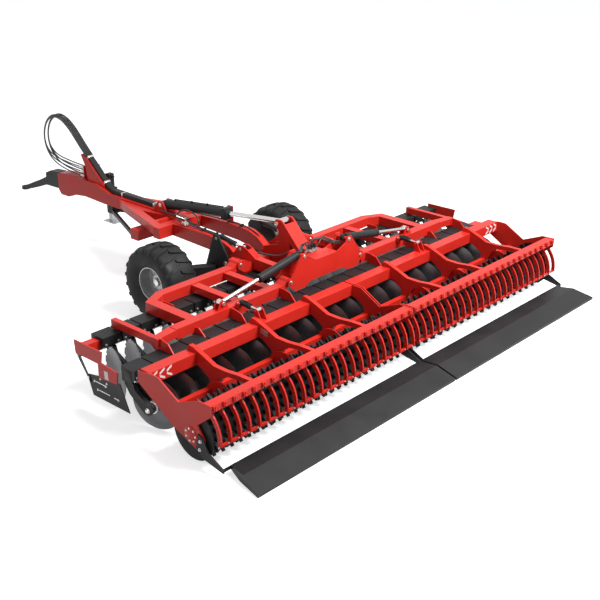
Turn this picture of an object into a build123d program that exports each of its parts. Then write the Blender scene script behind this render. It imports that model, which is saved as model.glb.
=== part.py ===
"""Trailed folding disc harrow with a toothed packer roller, a levelling board and a transport axle.

Millimetres. +X points forwards to the hitch, +Y to the left, +Z up, and the floor is z = 0.
Every x below is measured forwards from the harrow datum, near the rear tube of the roller frame,
and each finished node is moved so that the origin ends up under the middle of the whole machine.
"""
from build123d import *
import math
import os

os.makedirs("parts", exist_ok=True)

# ---------------------------------------------------------------- driving dimensions
HALF_WIDTH = 3000.0          # middle of the machine to the outer edge of the levelling board
HITCH_X = 6420.0             # front of the hitch eye
BOARD_REAR_X = -1610.0       # rear edge of the levelling board
DATUM_SHIFT = -(HITCH_X + BOARD_REAR_X) / 2

PIN_FIT = 0.1                # radial clearance of pins and shafts
SEAT_GAP = 0.3               # seat between separate pieces that bolt together
SPLIT_GAP = 20.0             # gap between the left and the right half at the middle

# discs, their arms and their gang beams
DISC_PITCH = 250.0
DISC_RADIUS = 280.0
DISC_DISH = 60.0
DISC_THICK = 6.0
DISC_ANGLE = 17.0            # degrees from the direction of travel
DISC_OFFSET = 62.5           # middle of the clamp to the plane of the rim
DISC_LIFT = 2.0              # rim above the floor
NOTCHES = {"front": 14, "rear": 0}
NOTCH_RADIUS = 24.0
HUB_RADIUS = 52.0
HUB_LENGTH = 50.0
ARM_THICK = 45.0
GANG_BEAM = 100.0
GANG_Z = 580.0
GANG_X = {"rear": 150.0, "front": 950.0}
CLAMP_DEPTH = 200.0
CLAMP_HEIGHT = 160.0
CLAMP_WIDTH = 232.0
CLAMP_CUT = (20.0, 22.0)     # corner above the disc, back and down from the beam
HUB_BACK = 200.0             # gang beam to the middle of the disc
FIXED_COUNT = 2              # front clamps on each side of the middle that stay on the centre frame
ROW_COUNT = int(HALF_WIDTH / DISC_PITCH)   # clamp stations from the middle to the end of a wing

# wing frame
FRAME_TOP = 780.0
FRAME_BOTTOM = 665.0
REAR_BEAM_X = (270.0, 390.0)
FRONT_BEAM_X = (1060.0, 1180.0)
WING_INNER_Y = 660.0
RIB_Y = [(760.0, 860.0), (1250.0, 1350.0)]
HANGER_THICK = 14.0
OUTER_HANGER_Y = DISC_PITCH * (ROW_COUNT - 2)
REAR_HANGER_Y = [2000.0, OUTER_HANGER_Y]
FRONT_HANGER_Y = [750.0, 1250.0, 1750.0]
SIDE_RAIL_Y = (OUTER_HANGER_Y - 30, OUTER_HANGER_Y + 30)
END_PLATE_Y = HALF_WIDTH - 14
END_PLATE_THICK = 12.0
DEFLECTOR_THICK = 9.0

# fold hinge of the wings
FOLD_Y = 600.0
FOLD_Z = 800.0
FOLD_PIN_RADIUS = 20.0
FOLD_LUG_RADIUS = 46.0

# roller frame
TUBE_X = (-160.0, -20.0)
TUBE_BOTTOM = 580.0
TUBE_TOP = 705.0
ROLLER_PIVOT_X = 12.0
ROLLER_PIVOT_Z = 600.0
ROLLER_PIN_RADIUS = 12.0
ROLLER_LUG_RADIUS = 24.0
ROLLER_HINGES_Y = [750.0, 1500.0, OUTER_HANGER_Y]
ARM_Y = [700.0, 1490.0, OUTER_HANGER_Y - 145]
ARM_WIDTH = 50.0
SIDE_PLATE_Y = HALF_WIDTH - 40
SIDE_PLATE_THICK = 15.0
FRONT_RAIL_X = (-412.0, -350.0)
FRONT_RAIL_Z = (350.0, 425.0)
GUARD_MIDDLE = (-535.0, 335.0)
GUARD_RADIUS = 205.0
GUARD_THICK = 10.0
GUARD_REACH = (40.0, 110.0)  # how far the guards may stand from the middle of an arm

# ring roller and its scrapers
ROLLER_X = -722.0
ROLLER_RADIUS = 275.0
ROLLER_DRUM = 214.0
RING_PITCH = 125.0
RING_COUNT = int((SIDE_PLATE_Y - SPLIT_GAP / 2) / RING_PITCH)
RING_THICK = 26.0
TEETH = 16
TOOTH_BASE = 54.0
TOOTH_TIP = 22.0
TOOTH_STEP = 3.0                      # degrees from one ring to the next
END_DISC_Y = SIDE_PLATE_Y - 14
END_DISC_THICK = 10.0
ROLLER_SHAFT = 40.0
SCRAPER_BEAM_X = -950.0
SCRAPER_BEAM_DEPTH = 105.0
SCRAPER_BEAM_TOP = 668.0
SCRAPER_BEAM_HEIGHT = 70.0
STRIP_MIDDLE = (-720.0, 300.0)
STRIP_RADIUS = 338.0         # round the axis of the roller
STRIP_THICK = 44.0
STRIP_WIDTH = 18.0
STRIP_TOP_ANGLE = 132.0
STRIP_CLAMP_WIDTH = 56.0
STRIP_FOOT_ANGLE = 187.0
FOOT_BAR = 24.0

# levelling board
BOARD_START_Y = 13.0
BOARD_FRONT_HALF = HALF_WIDTH - 120
BOARD_ARM_THICK = 12.0

# chassis: drawbar, axle and wheels
PIVOT_X = 1450.0
PIVOT_Z = 660.0
PIVOT_RADIUS = 28.0
PIVOT_LUG = 62.0
PIVOT_PIN_Y = (165.0, 455.0)
LEG_Y = 240.0
LEG_WIDTH = 100.0
SPINE_WIDTH = 180.0
SPINE_FRONT_X = 5350.0
CROSS_TUBE_X = (2590.0, 2710.0)
CROSS_TUBE_HALF = 520.0
LOWER_BEAM_X = (3050.0, 3200.0)
GUSSET_PLAN = [(3950.0, 80.0), (3700.0, 192.0), (2650.0, 520.0), (2650.0, 80.0)]
GUSSET_WINDOWS = [
    [(3330.0, 190.0), (2890.0, 115.0), (2890.0, 330.0)],
    [(2835.0, 115.0), (2835.0, 350.0), (2735.0, 382.0), (2735.0, 115.0)],
]
WHEEL_X = 1974.0
WHEEL_Y = 1030.0
TYRE_RADIUS = 470.0
TYRE_WIDTH = 440.0
RIM_RADIUS = 212.0
LUG_HEIGHT = 22.0
LUG_COUNT = 20
AXLE_PLATE_Y = 430.0
AXLE_PLATE_THICK = 20.0
CHEEK_INNER_Y = 312.0
CHEEK_OUTER_Y = 398.0
CHEEK_THICK = 12.0

# cylinders: x and z of the eye on the barrel and of the eye on the rod
TOWER_PIN = (930.0, 1200.0)
MAIN_BARREL_PIN = (3064.0, 955.0)
MAIN_BARREL_RADIUS = 62.0
MAIN_ROD_RADIUS = 32.0
MAIN_BARREL_LENGTH = 1230.0
LIFT_BARREL_PIN = (1620.0, 940.0)
LIFT_ROD_PIN = (1240.0, 890.0)
LIFT_Y = 355.0
LIFT_BARREL_RADIUS = 30.0
LIFT_ROD_RADIUS = 16.0
LIFT_BARREL_LENGTH = 250.0
FOLD_CYL_X = 330.0
FOLD_BARREL_PIN = (385.0, 1050.0)      # y, z
FOLD_ROD_PIN = (1590.0, 845.0)         # y, z
FOLD_BARREL_RADIUS = 45.0
FOLD_ROD_RADIUS = 22.0
FOLD_BARREL_LENGTH = 640.0
DEPTH_BARREL_PIN = (245.0, 812.0)
DEPTH_ROD_PIN = (-20.0, 800.0)
DEPTH_Y = 1380.0
DEPTH_BARREL_RADIUS = 30.0
DEPTH_ROD_RADIUS = 12.0
DEPTH_BARREL_LENGTH = 150.0
DEPTH_LUG_Y = (34.0, 46.0)             # inner and outer face of the lugs beside the cylinder
PIN_HEAD = 10.0                        # how far the head of a pin stands out of its lug

TOWER_PIN_RADIUS = 25.0
TOWER_CHEEK_Y = (78.0, 98.0)
LIFT_PIN_RADIUS = 16.0
DEPTH_PIN_RADIUS = 12.0
STUB_RADIUS = 45.0
HITCH_EYE_Z = 490.0
HITCH_EYE_THICK = 44.0
HITCH_BORE_RADIUS = 25.5

MAIN_RETRACT = 80.0
LIFT_RETRACT = 95.0
FOLD_RETRACT = 470.0
DEPTH_RETRACT = 30.0

# hoses: a free loop from the top of the guide to the parked plugs, drawn in x and z
MAST_HALF = 60.0
GUIDE_HALF = 40.0
HOSE_RADIUS = 9.0
HOSE_PITCH = 22.0
COUPLER_Y = (-32.0, 32.0)
COUPLER_ROWS = (990.0, 1052.0, 1114.0)
COUPLER_RADIUS = 17.0
COUPLER_END_X = 4820.0
HOSE_LOOP_MIDDLE = (5230.0, 1400.0)
HOSE_LOOP = [
    (4656.6, 1298.25),
    (4770.2, 1396.1),
    (4890.0, 1518.0),
    (5010.0, 1635.0),
    (5150.0, 1732.0),
    (5310.0, 1780.0),
    (5460.0, 1757.0),
    (5590.0, 1668.0),
    (5672.0, 1532.0),
    (5697.0, 1385.0),
    (5660.0, 1250.0),
    (5560.0, 1150.0),
    (5405.0, 1092.0),
    (5220.0, 1068.0),
    (4990.0, 1052.0),
    (4820.0, 1052.0),
]

# parking jack
JACK_FOOT_Z = 350.0
JACK_X = 4430.0
JACK_Y = -150.0
JACK_TUBE = 84.0
JACK_WALL = 6.0
JACK_LEG = JACK_TUBE - 2 * JACK_WALL - 2 * SEAT_GAP
JACK_TUBE_BOTTOM = 560.0
JACK_TUBE_TOP = 1060.0
JACK_TRAVEL = 380.0
JACK_FOOT_THICK = 12.0

EYE_RATIO = 1.9              # outer radius of an eye to the radius of its pin

SIDES = {"left": 1, "right": -1}


# ---------------------------------------------------------------- shapes used all over
def block(x0, x1, y0, y1, z0, z1):
    """Box between two corners."""
    return Pos((x0 + x1) / 2, (y0 + y1) / 2, (z0 + z1) / 2) * Box(abs(x1 - x0), abs(y1 - y0), abs(z1 - z0))


def plate_xz(points, y0, y1):
    """Plate with an outline in x and z, between two y values."""
    outline = make_face(Polyline([(x, -z) for x, z in points], close=True))
    lower, upper = min(y0, y1), max(y0, y1)
    return Pos(0, lower, 0) * Rot(-90, 0, 0) * extrude(outline, amount=upper - lower)


def plate_yz(points, x0, x1):
    """Plate with an outline in y and z, between two x values."""
    outline = make_face(Polyline([(x0, y, z) for y, z in points], close=True))
    return extrude(outline, amount=x1 - x0, dir=(1, 0, 0))


def plate_xy(points, z0, z1):
    """Plate with an outline in x and y, between two heights."""
    outline = make_face(Polyline([(x, y, z0) for x, y in points], close=True))
    return extrude(outline, amount=z1 - z0, dir=(0, 0, 1))


def rod(start, end, radius):
    """Round bar from one point to another."""
    start, end = Vector(start), Vector(end)
    return Plane(origin=start, z_dir=end - start) * Cylinder(
        radius, (end - start).length, align=(Align.CENTER, Align.CENTER, Align.MIN)
    )


def bar(start, end, width, height):
    """Square bar from one point to another, with its width level."""
    start, end = Vector(start), Vector(end)
    run = end - start
    level = Vector(0, 0, 1).cross(run)
    along = Plane(origin=start, x_dir=level, z_dir=run)
    return along * Box(width, height, run.length, align=(Align.CENTER, Align.CENTER, Align.MIN))


def rod_y(x, z, y0, y1, radius):
    return rod((x, min(y0, y1), z), (x, max(y0, y1), z), radius)


def rod_x(y, z, x0, x1, radius):
    return rod((min(x0, x1), y, z), (max(x0, x1), y, z), radius)


def mirrored(shape, side):
    return shape if side == "left" else mirror(shape, about=Plane.XZ)


def save(name, shape):
    solids = shape.moved(Location((DATUM_SHIFT, 0, 0)))
    export_step(solids, f"parts/{name}.step")


# ---------------------------------------------------------------- gangs: clamps, arms, discs
def dished_disc(notches):
    """Dished disc, vertex at the origin, hollow side towards -Y, its rim plain or notched."""
    sphere = (DISC_RADIUS**2 + DISC_DISH**2) / (2 * DISC_DISH)
    inner = sphere - DISC_THICK
    reach = math.asin(DISC_RADIUS / sphere)
    mid = reach / 2

    def on_arc(radius, angle):
        return (radius * math.sin(angle), radius * math.cos(angle) - sphere)

    outer_arc = ThreePointArc(on_arc(sphere, 0), on_arc(sphere, mid), on_arc(sphere, reach))
    inner_arc = ThreePointArc(on_arc(inner, reach), on_arc(inner, mid), on_arc(inner, 0))
    rim_edge = Line(outer_arc @ 1, inner_arc @ 0)
    axis_edge = Line(inner_arc @ 1, outer_arc @ 0)
    profile = make_face([outer_arc, rim_edge, inner_arc, axis_edge])
    disc = revolve(profile, Axis.Y)
    for index in range(notches):
        notch = Cylinder(NOTCH_RADIUS, 4 * DISC_DISH)
        at_rim = Pos(DISC_RADIUS + NOTCH_RADIUS / 3, 0, 0) * Rot(90, 0, 0) * notch
        disc -= Rot(0, index * 360 / notches, 0) * at_rim
    return disc


def disc_arm(gang_x):
    """Clamp round the gang beam and the bent arm below it, hub on the +Y side of the disc."""
    half_depth, half_height, half_beam = CLAMP_DEPTH / 2, CLAMP_HEIGHT / 2, GANG_BEAM / 2
    seat = half_beam + SEAT_GAP
    half_width = CLAMP_WIDTH / 2
    clamp_outline = [
        (-half_depth, half_height),
        (half_depth, half_height),
        (half_depth, -half_height),
        (-CLAMP_CUT[0], -half_height),
        (-half_depth, -CLAMP_CUT[1]),
    ]
    clamp = plate_xz(clamp_outline, -half_width, half_width)
    clamp -= block(-seat, seat, -CLAMP_WIDTH, CLAMP_WIDTH, -seat, seat)
    hub_z = DISC_RADIUS + DISC_LIFT - GANG_Z
    reach = HUB_LENGTH + ARM_THICK
    slant = math.radians(DISC_ANGLE)
    hub_x = -HUB_BACK
    arm_y = -DISC_OFFSET + DISC_DISH * math.cos(slant) + HUB_LENGTH + ARM_THICK / 2
    end_x = hub_x - (DISC_DISH + reach / 2) * math.sin(slant)
    outline = [
        (half_depth - 5, -half_height),
        (half_depth - 12, -half_height - 45),
        (20, hub_z + 85),
        (end_x + 45, hub_z - 52),
        (end_x - 20, hub_z - 58),
        (end_x - 58, hub_z),
        (end_x - 22, hub_z + 56),
        (-62, hub_z + 150),
        (-40, -half_height),
    ]
    arm = plate_xz(outline, arm_y - ARM_THICK / 2, arm_y + ARM_THICK / 2)
    hub = hub_shape(hub_x, hub_z)
    return Pos(gang_x, 0, GANG_Z) * (clamp + arm + hub)


def hub_shape(hub_x, hub_z):
    """Bearing hub between the dish of the disc and the end of the arm."""
    hub = Rot(-90, 0, 0) * Cylinder(HUB_RADIUS, HUB_LENGTH + ARM_THICK / 2, align=(Align.CENTER, Align.CENTER, Align.MIN))
    return disc_place(hub_x, hub_z, SEAT_GAP) * hub


def disc_place(hub_x, hub_z, beyond):
    """Place on the axis of a rear disc, from the outside of its vertex outwards."""
    slant = math.radians(DISC_ANGLE)
    out = DISC_DISH + beyond
    return Pos(hub_x - out * math.sin(slant), -DISC_OFFSET + out * math.cos(slant), hub_z) * Rot(0, 0, DISC_ANGLE)


def placed_disc(row):
    """Disc of a row below its clamp, before the front row is mirrored."""
    place = disc_place(-HUB_BACK, DISC_RADIUS + DISC_LIFT - GANG_Z, 0)
    return Pos(GANG_X[row], 0, GANG_Z) * place * dished_disc(NOTCHES[row])


def gang(rows):
    """Arms and discs of the rows: a table of row and clamp y."""
    arm = {row: disc_arm(GANG_X[row]) for row in GANG_X}
    disc = {row: placed_disc(row) for row in GANG_X}
    arm["front"] = mirror(arm["front"], about=Plane.XZ)
    disc["front"] = mirror(disc["front"], about=Plane.XZ)
    beyond = block(0, 1200, END_PLATE_Y - 1, END_PLATE_Y + CLAMP_WIDTH, 400, 700)
    arms = [Pos(0, y, 0) * arm[row] - beyond - mirror(beyond, about=Plane.XZ) for row, y in rows]
    discs = [Pos(0, y, 0) * disc[row] for row, y in rows]
    return Compound(children=arms), Compound(children=discs)


def clamp_y(index):
    return (index + 0.5) * DISC_PITCH


fixed_rows = [("front", clamp_y(index)) for index in range(-FIXED_COUNT, FIXED_COUNT)]
wing_rows = {"left": [], "right": []}
SHORT_ROW = {"left": "front", "right": "rear"}
for side, sign in SIDES.items():
    for row_name in GANG_X:
        first = 0 if row_name == "rear" else FIXED_COUNT
        stop = ROW_COUNT - 1 if row_name == SHORT_ROW[side] else ROW_COUNT
        wing_rows[side] += [(row_name, sign * clamp_y(index)) for index in range(first, stop)]


def gang_beam(row, y0, y1):
    half = GANG_BEAM / 2
    return block(GANG_X[row] - half, GANG_X[row] + half, y0, y1, GANG_Z - half, GANG_Z + half)


# ---------------------------------------------------------------- cylinders
def cylinder_pair(barrel_eye, rod_eye, side_axis, barrel, rod_radius, eye_width, pin_radius, retract):
    """Barrel and rod between two eyes: barrel is (radius, length), retract is how far the rod goes in.

    The pin stays in the eye of the rod and ends inside the lugs, so that the eye can drift from them.
    """
    start, end = Vector(barrel_eye), Vector(rod_eye)
    run = (end - start).normalized()
    eye_radius = pin_radius * EYE_RATIO
    half_eye = Vector(side_axis) * (eye_width / 2)
    barrel_radius, barrel_length = barrel

    def eye(at):
        return rod(at - half_eye, at + half_eye, eye_radius)

    def bore(at):
        return rod(at - half_eye * 3, at + half_eye * 3, pin_radius + PIN_FIT)

    mouth = start + run * barrel_length
    floor = start + run * (eye_radius + barrel_radius / 2)
    shell = eye(start) + rod(start + run * (eye_radius * 0.7), mouth, barrel_radius) - bore(start)
    shell -= rod(floor, mouth + run, rod_radius + PIN_FIT)
    tail = floor + run * (retract + 2)
    piston_rod = rod(tail, end - run * (eye_radius * 0.6), rod_radius) + eye(end)
    return shell, piston_rod


def at_y(pin, y):
    return (pin[0], y, pin[1])


def at_x(x, pin, sign):
    return (x, sign * pin[0], pin[1])


# ---------------------------------------------------------------- centre frame
def box_plate_outline():
    """Upright hinge plate across the machine, outline in y and z."""
    half = [
        (185, 958),
        (325, 1020),
        (350, 1085),
        (425, 1085),
        (465, 1030),
        (600, 848),
        (640, 835),
        (648, 780),
        (615, 745),
        (530, 676),
        (360, 680),
        (290, 728),
    ]
    right = [(-y, z) for y, z in reversed(half)]
    return half + right


def centre_frame():
    box_rear = (235.0, 250.0)
    box_front = (410.0, 425.0)
    frame = None
    for x0, x1 in (box_rear, box_front):
        plate = plate_yz(box_plate_outline(), x0, x1)
        frame = plate if frame is None else frame + plate
    frame += block(box_rear[1], box_front[0], -480, 480, 732, 800)
    frame += block(box_rear[0], box_front[0], -185, 185, 946, 958)
    # front cross tube and the hinge plates of the wings on it
    tube_x = (FRONT_BEAM_X[0] - 10, FRONT_BEAM_X[1] + 10)
    frame += block(*tube_x, -540, 540, FRAME_BOTTOM, FRAME_TOP)
    ear = [(430, 690), (430, 780), (565, 848), (640, 835), (648, 780), (615, 745), (540, 690)]
    for sign in SIDES.values():
        outline = [(sign * y, z) for y, z in ear]
        frame += plate_yz(outline, tube_x[0] - 15, tube_x[0])
        frame += plate_yz(outline, tube_x[1], tube_x[1] + 15)
        for x0, x1 in ((box_rear[0], box_front[1]), (tube_x[0] - 15, tube_x[1] + 15)):
            frame += rod_x(sign * FOLD_Y, FOLD_Z, x0, x1, FOLD_PIN_RADIUS)
        frame += rod_x(sign * FOLD_BARREL_PIN[0], FOLD_BARREL_PIN[1], box_rear[0], box_front[1], FOLD_PIN_RADIUS)
    for sign in SIDES.values():
        frame += block(GANG_X["front"] - 50, tube_x[0], sign * 243, sign * 257, 540, 690)
    frame += gang_beam("front", -495, 495)
    return frame


def lift_cheeks():
    """Plates on each side of the frame that carry the common pivot and the rear pin of a lift cylinder."""
    cheek = [
        (425, 692),
        (425, 815),
        (660, 818),
        (1000, 825),
        (1130, 905),
        (1205, 935),
        (1280, 925),
        (1330, 850),
        (1420, 765),
        (1500, 725),
        (1518, 665),
        (1440, 560),
        (1062, 545),
        (1062, 692),
    ]
    head_radius = 1.4 * LIFT_PIN_RADIUS
    lid = [(440, 803), (440, 815), (660, 818), (1000, 825), (1130, 905), (1140, 893), (1002, 812), (660, 806)]
    frame = centre_frame()
    half = CHEEK_THICK / 2
    pieces = []
    for sign in SIDES.values():
        inner = plate_xz(cheek, sign * (CHEEK_INNER_Y - half), sign * (CHEEK_INNER_Y + half))
        inner += rod_y(*LIFT_ROD_PIN, sign * (CHEEK_INNER_Y - half - PIN_HEAD), sign * (CHEEK_INNER_Y - half), head_radius)
        inner += rod_y(PIVOT_X, PIVOT_Z, sign * PIVOT_PIN_Y[0], sign * (CHEEK_OUTER_Y - half), PIVOT_RADIUS)
        outer = plate_xz(cheek, sign * (CHEEK_OUTER_Y - half), sign * (CHEEK_OUTER_Y + half))
        outer += rod_y(*LIFT_ROD_PIN, sign * (CHEEK_OUTER_Y + half), sign * (CHEEK_OUTER_Y + half + PIN_HEAD), head_radius)
        outer += rod_y(PIVOT_X, PIVOT_Z, sign * (CHEEK_OUTER_Y + half), sign * PIVOT_PIN_Y[1], PIVOT_RADIUS)
        cover = plate_xz(lid, sign * (CHEEK_INNER_Y + half), sign * (CHEEK_OUTER_Y - half))
        pieces += [inner - frame, outer - frame, cover - frame]
    return Compound(children=pieces)


def top_link_tower():
    """Two cheeks with the pin of the main cylinder at their top, and the deck behind them."""
    cheek = [
        (425, 700),
        (425, 880),
        (552, 925),
        (830, 1222),
        (870, 1252),
        (950, 1250),
        (980, 1215),
        (968, 1165),
        (912, 1110),
        (895, 1035),
        (925, 950),
        (1150, 872),
        (1190, 800),
        (1190, 780),
        (1050, 780),
        (1050, 700),
    ]
    window = [(604, 880), (749, 1014), (705, 880)]
    tower = None
    for sign in SIDES.values():
        y0, y1 = sign * TOWER_CHEEK_Y[0], sign * TOWER_CHEEK_Y[1]
        side_plate = plate_xz(cheek, y0, y1) - plate_xz(window, y0 * 0.9, y1 * 1.1)
        side_plate += rod_y(*TOWER_PIN, y1, y1 + sign * 2 * PIN_HEAD, 1.3 * TOWER_PIN_RADIUS)
        tower = side_plate if tower is None else tower + side_plate
    tower += plate_xz([(540, 898), (552, 925), (820, 1211), (834, 1199)], -TOWER_CHEEK_Y[1], TOWER_CHEEK_Y[1])
    tower += block(425, 560, -130, 130, 905, 925)
    tower += block(1100, 1180, -TOWER_CHEEK_Y[1], TOWER_CHEEK_Y[1], 780, 800)
    return tower


def valve_block():
    return block(455, 525, -62, 62, 925 + SEAT_GAP, 990)


# ---------------------------------------------------------------- wings, drawn for the left
def wing_frame(side):
    sign = SIDES[side]
    wing = block(*REAR_BEAM_X, WING_INNER_Y, 2250, FRAME_BOTTOM, FRAME_TOP)
    rail_start, rail_stop = SIDE_RAIL_Y
    outer = [(270, 2250), (390, 2250), (330, rail_stop), (235, rail_stop)]
    wing += plate_xy(outer, 690, 775)
    bent = [(1060, 660), (1180, 660), (1180, 1760), (1045, 2020), (390, 2020), (390, 1900), (990, 1900), (1060, 1760)]
    wing += plate_xy(bent, FRAME_BOTTOM, FRAME_TOP)
    for y0, y1 in RIB_Y:
        wing += block(REAR_BEAM_X[1], FRONT_BEAM_X[0], y0, y1, 690, 770)
    wing += block(235, 980, rail_start, rail_stop, 690, 770)
    # fold hinge lugs
    for x0, x1 in (REAR_BEAM_X, FRONT_BEAM_X):
        lug = rod_x(FOLD_Y, FOLD_Z, x0, x1, FOLD_LUG_RADIUS)
        lug += plate_yz([(600, 756), (600, 844), (700, 780), (700, 700)], x0, x1)
        wing += lug - rod_x(FOLD_Y, FOLD_Z, x0 - 1, x1 + 1, FOLD_PIN_RADIUS + PIN_FIT)
    # gang beams and their hangers between the clamps
    half = HANGER_THICK / 2
    wing += gang_beam("rear", SPLIT_GAP / 2, END_PLATE_Y - 1)
    front_end = END_PLATE_Y - DEFLECTOR_THICK - SEAT_GAP
    wing += gang_beam("front", 505, front_end)
    wing += block(905, 995, front_end - 10, END_PLATE_Y, 602, 628)
    for y in REAR_HANGER_Y:
        wing += plate_xz([(105, 535), (195, 535), (390, 680), (390, 700), (220, 730), (105, 640)], y - half, y + half)
    for y in FRONT_HANGER_Y:
        wing += plate_xz([(905, 535), (995, 535), (1070, 670), (1070, 700), (905, 700)], y - half, y + half)
    wing += block(905, 980, OUTER_HANGER_Y - half, OUTER_HANGER_Y + half, 535, 700)
    # ears of the roller frame
    ear = [
        (290, 690),
        (290, 775),
        (210, 778),
        (110, 755),
        (30, 665),
        (ROLLER_PIVOT_X - 16, 618),
        (ROLLER_PIVOT_X - 24, ROLLER_PIVOT_Z),
        (ROLLER_PIVOT_X - 14, 580),
        (ROLLER_PIVOT_X + 12, 577),
        (100, 600),
        (100, 535),
        (195, 535),
        (200, 640),
    ]
    for y in ROLLER_HINGES_Y:
        bracket = plate_xz(ear, y - half, y + half)
        wing += bracket + rod_y(ROLLER_PIVOT_X, ROLLER_PIVOT_Z, y - 26, y + 26, ROLLER_PIN_RADIUS)
    # outer end plate
    end = [(990, 700), (535, 705), (560, 580), (300, 560), (320, 425), (610, 400), (610, 555), (975, 555)]
    wing += plate_xz(end, END_PLATE_Y, END_PLATE_Y + END_PLATE_THICK)
    return mirrored(wing, side)


def cylinder_lugs(side):
    """Lugs welded to the rear beam: two for the rod of the fold cylinder, two for the depth cylinder."""
    lug_x = (REAR_BEAM_X[0] + REAR_BEAM_X[1]) / 2
    fold_y, fold_z = FOLD_ROD_PIN
    outline = [
        (fold_y - 80, FRAME_TOP),
        (fold_y - 25, fold_z + 32),
        (fold_y + 25, fold_z + 32),
        (fold_y + 80, FRAME_TOP),
    ]
    lugs = []
    for direction in SIDES.values():
        inner_face, outer_face = lug_x + direction * 28, lug_x + direction * 40
        lug = plate_yz(outline, inner_face, outer_face)
        lug += rod_x(fold_y, fold_z, outer_face, outer_face + direction * PIN_HEAD, 1.3 * FOLD_PIN_RADIUS)
        lugs.append(lug)
    pin_x, pin_z = DEPTH_BARREL_PIN
    outline = [(pin_x + 30, 745), (pin_x - 8, 760), (pin_x - 28, pin_z), (pin_x, pin_z + 26), (pin_x + 33, 800)]
    lug_inner, lug_outer = DEPTH_LUG_Y
    pair = rod_y(pin_x, pin_z, DEPTH_Y - lug_outer, DEPTH_Y + lug_outer, DEPTH_PIN_RADIUS)
    for direction in SIDES.values():
        pair += plate_xz(outline, DEPTH_Y + direction * lug_inner, DEPTH_Y + direction * lug_outer)
    beam = block(*REAR_BEAM_X, WING_INNER_Y, 2250, FRAME_BOTTOM, FRAME_TOP)
    lugs.append(pair - beam)
    return Compound(children=[mirrored(lug, side) for lug in lugs])


def end_deflector(side):
    """Plate hung from the end plate that keeps thrown soil in."""
    plate = plate_xz(
        [(820, 370), (742, 156), (161, 159), (290, 436), (340, 430), (610, 410)],
        END_PLATE_Y - DEFLECTOR_THICK,
        END_PLATE_Y,
    )
    strap_outline = [(974, 555 - SEAT_GAP), (912, 555 - SEAT_GAP), (752, 300), (806, 345)]
    strap = plate_xz(strap_outline, END_PLATE_Y, END_PLATE_Y + DEFLECTOR_THICK)
    return mirrored(plate + strap, side)


# ---------------------------------------------------------------- roller frame and what it carries
def roller_arm_outline():
    beam_front = SCRAPER_BEAM_X + SCRAPER_BEAM_DEPTH / 2
    return [
        (TUBE_X[1] - 10, TUBE_BOTTOM),
        (TUBE_X[1] - 10, 735),
        (-55, 762),
        (-110, 757),
        (-270, 700),
        (-400, 648),
        (-560, 646),
        (-740, 664),
        (beam_front, 666),
        (beam_front, 610),
        (-700, 612),
        (-590, 596),
        (-500, 540),
        (-452, 452),
        (FRONT_RAIL_X[0], 380),
        (FRONT_RAIL_X[1], 380),
        (-335, 490),
        (-215, 565),
        (TUBE_X[0], TUBE_BOTTOM),
    ]


def end_plate_tail():
    """Rear part common to the outer and the inner end plates, from the top edge round to the underside."""
    return [
        (-188, 711),
        (-289, 706),
        (-564, 554),
        (-840, 670),
        (-1009, 675),
        (-1003, 563),
        (-817, 411),
        (-905, 290),
        (-900, 115),
        (-777, 150),
        (-499, 258),
    ]


def ring_y(index):
    """Middle of one ring of the roller."""
    middle = (SPLIT_GAP / 2 + SIDE_PLATE_Y) / 2
    return middle + (index - (RING_COUNT - 1) / 2) * RING_PITCH


def ring_guard():
    """Half-round plate on the front rail that reaches between two rings."""
    x, z = GUARD_MIDDLE
    guard = rod_y(x, z, -GUARD_THICK / 2, GUARD_THICK / 2, GUARD_RADIUS)
    guard -= rod_y(ROLLER_X, ROLLER_RADIUS, -GUARD_THICK, GUARD_THICK, ROLLER_DRUM + 15)
    guard -= block(FRONT_RAIL_X[1] - 2, 0, -GUARD_THICK, GUARD_THICK, 0, 900)
    guard -= block(-900, 0, -GUARD_THICK, GUARD_THICK, 0, FRONT_RAIL_Z[0] + 10)
    return guard


def roller_frame(side):
    inner = SPLIT_GAP / 2
    plate_inner = SIDE_PLATE_Y
    frame = block(*TUBE_X, inner, plate_inner, TUBE_BOTTOM, TUBE_TOP)
    frame += block(*FRONT_RAIL_X, inner, plate_inner, *FRONT_RAIL_Z)
    for y in ARM_Y:
        frame += plate_xz(roller_arm_outline(), y - ARM_WIDTH / 2, y + ARM_WIDTH / 2)
    guard = ring_guard()
    for index in range(RING_COUNT - 1):
        valley = ring_y(index) + RING_PITCH / 2
        if any(GUARD_REACH[0] < valley - y < GUARD_REACH[1] for y in ARM_Y):
            frame += Pos(0, valley, 0) * guard
    outer_outline = [(11, 560), (11, 680)] + end_plate_tail()
    inner_outline = [(-20, 590), (-20, 690)] + end_plate_tail()[:-1] + [(-499, 258), (-350, 410), (-330, 500), (-210, 565)]
    frame += plate_xz(outer_outline, SIDE_PLATE_Y, SIDE_PLATE_Y + SIDE_PLATE_THICK)
    frame += plate_xz(inner_outline, inner, inner + 12)
    # hinge lugs on both sides of each ear of the wing
    for y in ROLLER_HINGES_Y:
        for y0 in (y - 26, y + 13):
            lug = rod_y(ROLLER_PIVOT_X, ROLLER_PIVOT_Z, y0, y0 + 13, ROLLER_LUG_RADIUS)
            lug += block(TUBE_X[1], ROLLER_PIVOT_X, y0, y0 + 13, ROLLER_PIVOT_Z - 20, ROLLER_PIVOT_Z + 24)
            lug -= rod_y(ROLLER_PIVOT_X, ROLLER_PIVOT_Z, y0 - 1, y0 + 14, ROLLER_PIN_RADIUS + PIN_FIT)
            frame += lug
    # bores for the shaft of the roller
    frame -= rod_y(ROLLER_X, ROLLER_RADIUS, inner - 1, inner + 13, ROLLER_SHAFT + PIN_FIT)
    frame -= rod_y(ROLLER_X, ROLLER_RADIUS, SIDE_PLATE_Y - 1, SIDE_PLATE_Y + 16, ROLLER_SHAFT + PIN_FIT)
    return mirrored(frame, side)


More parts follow.
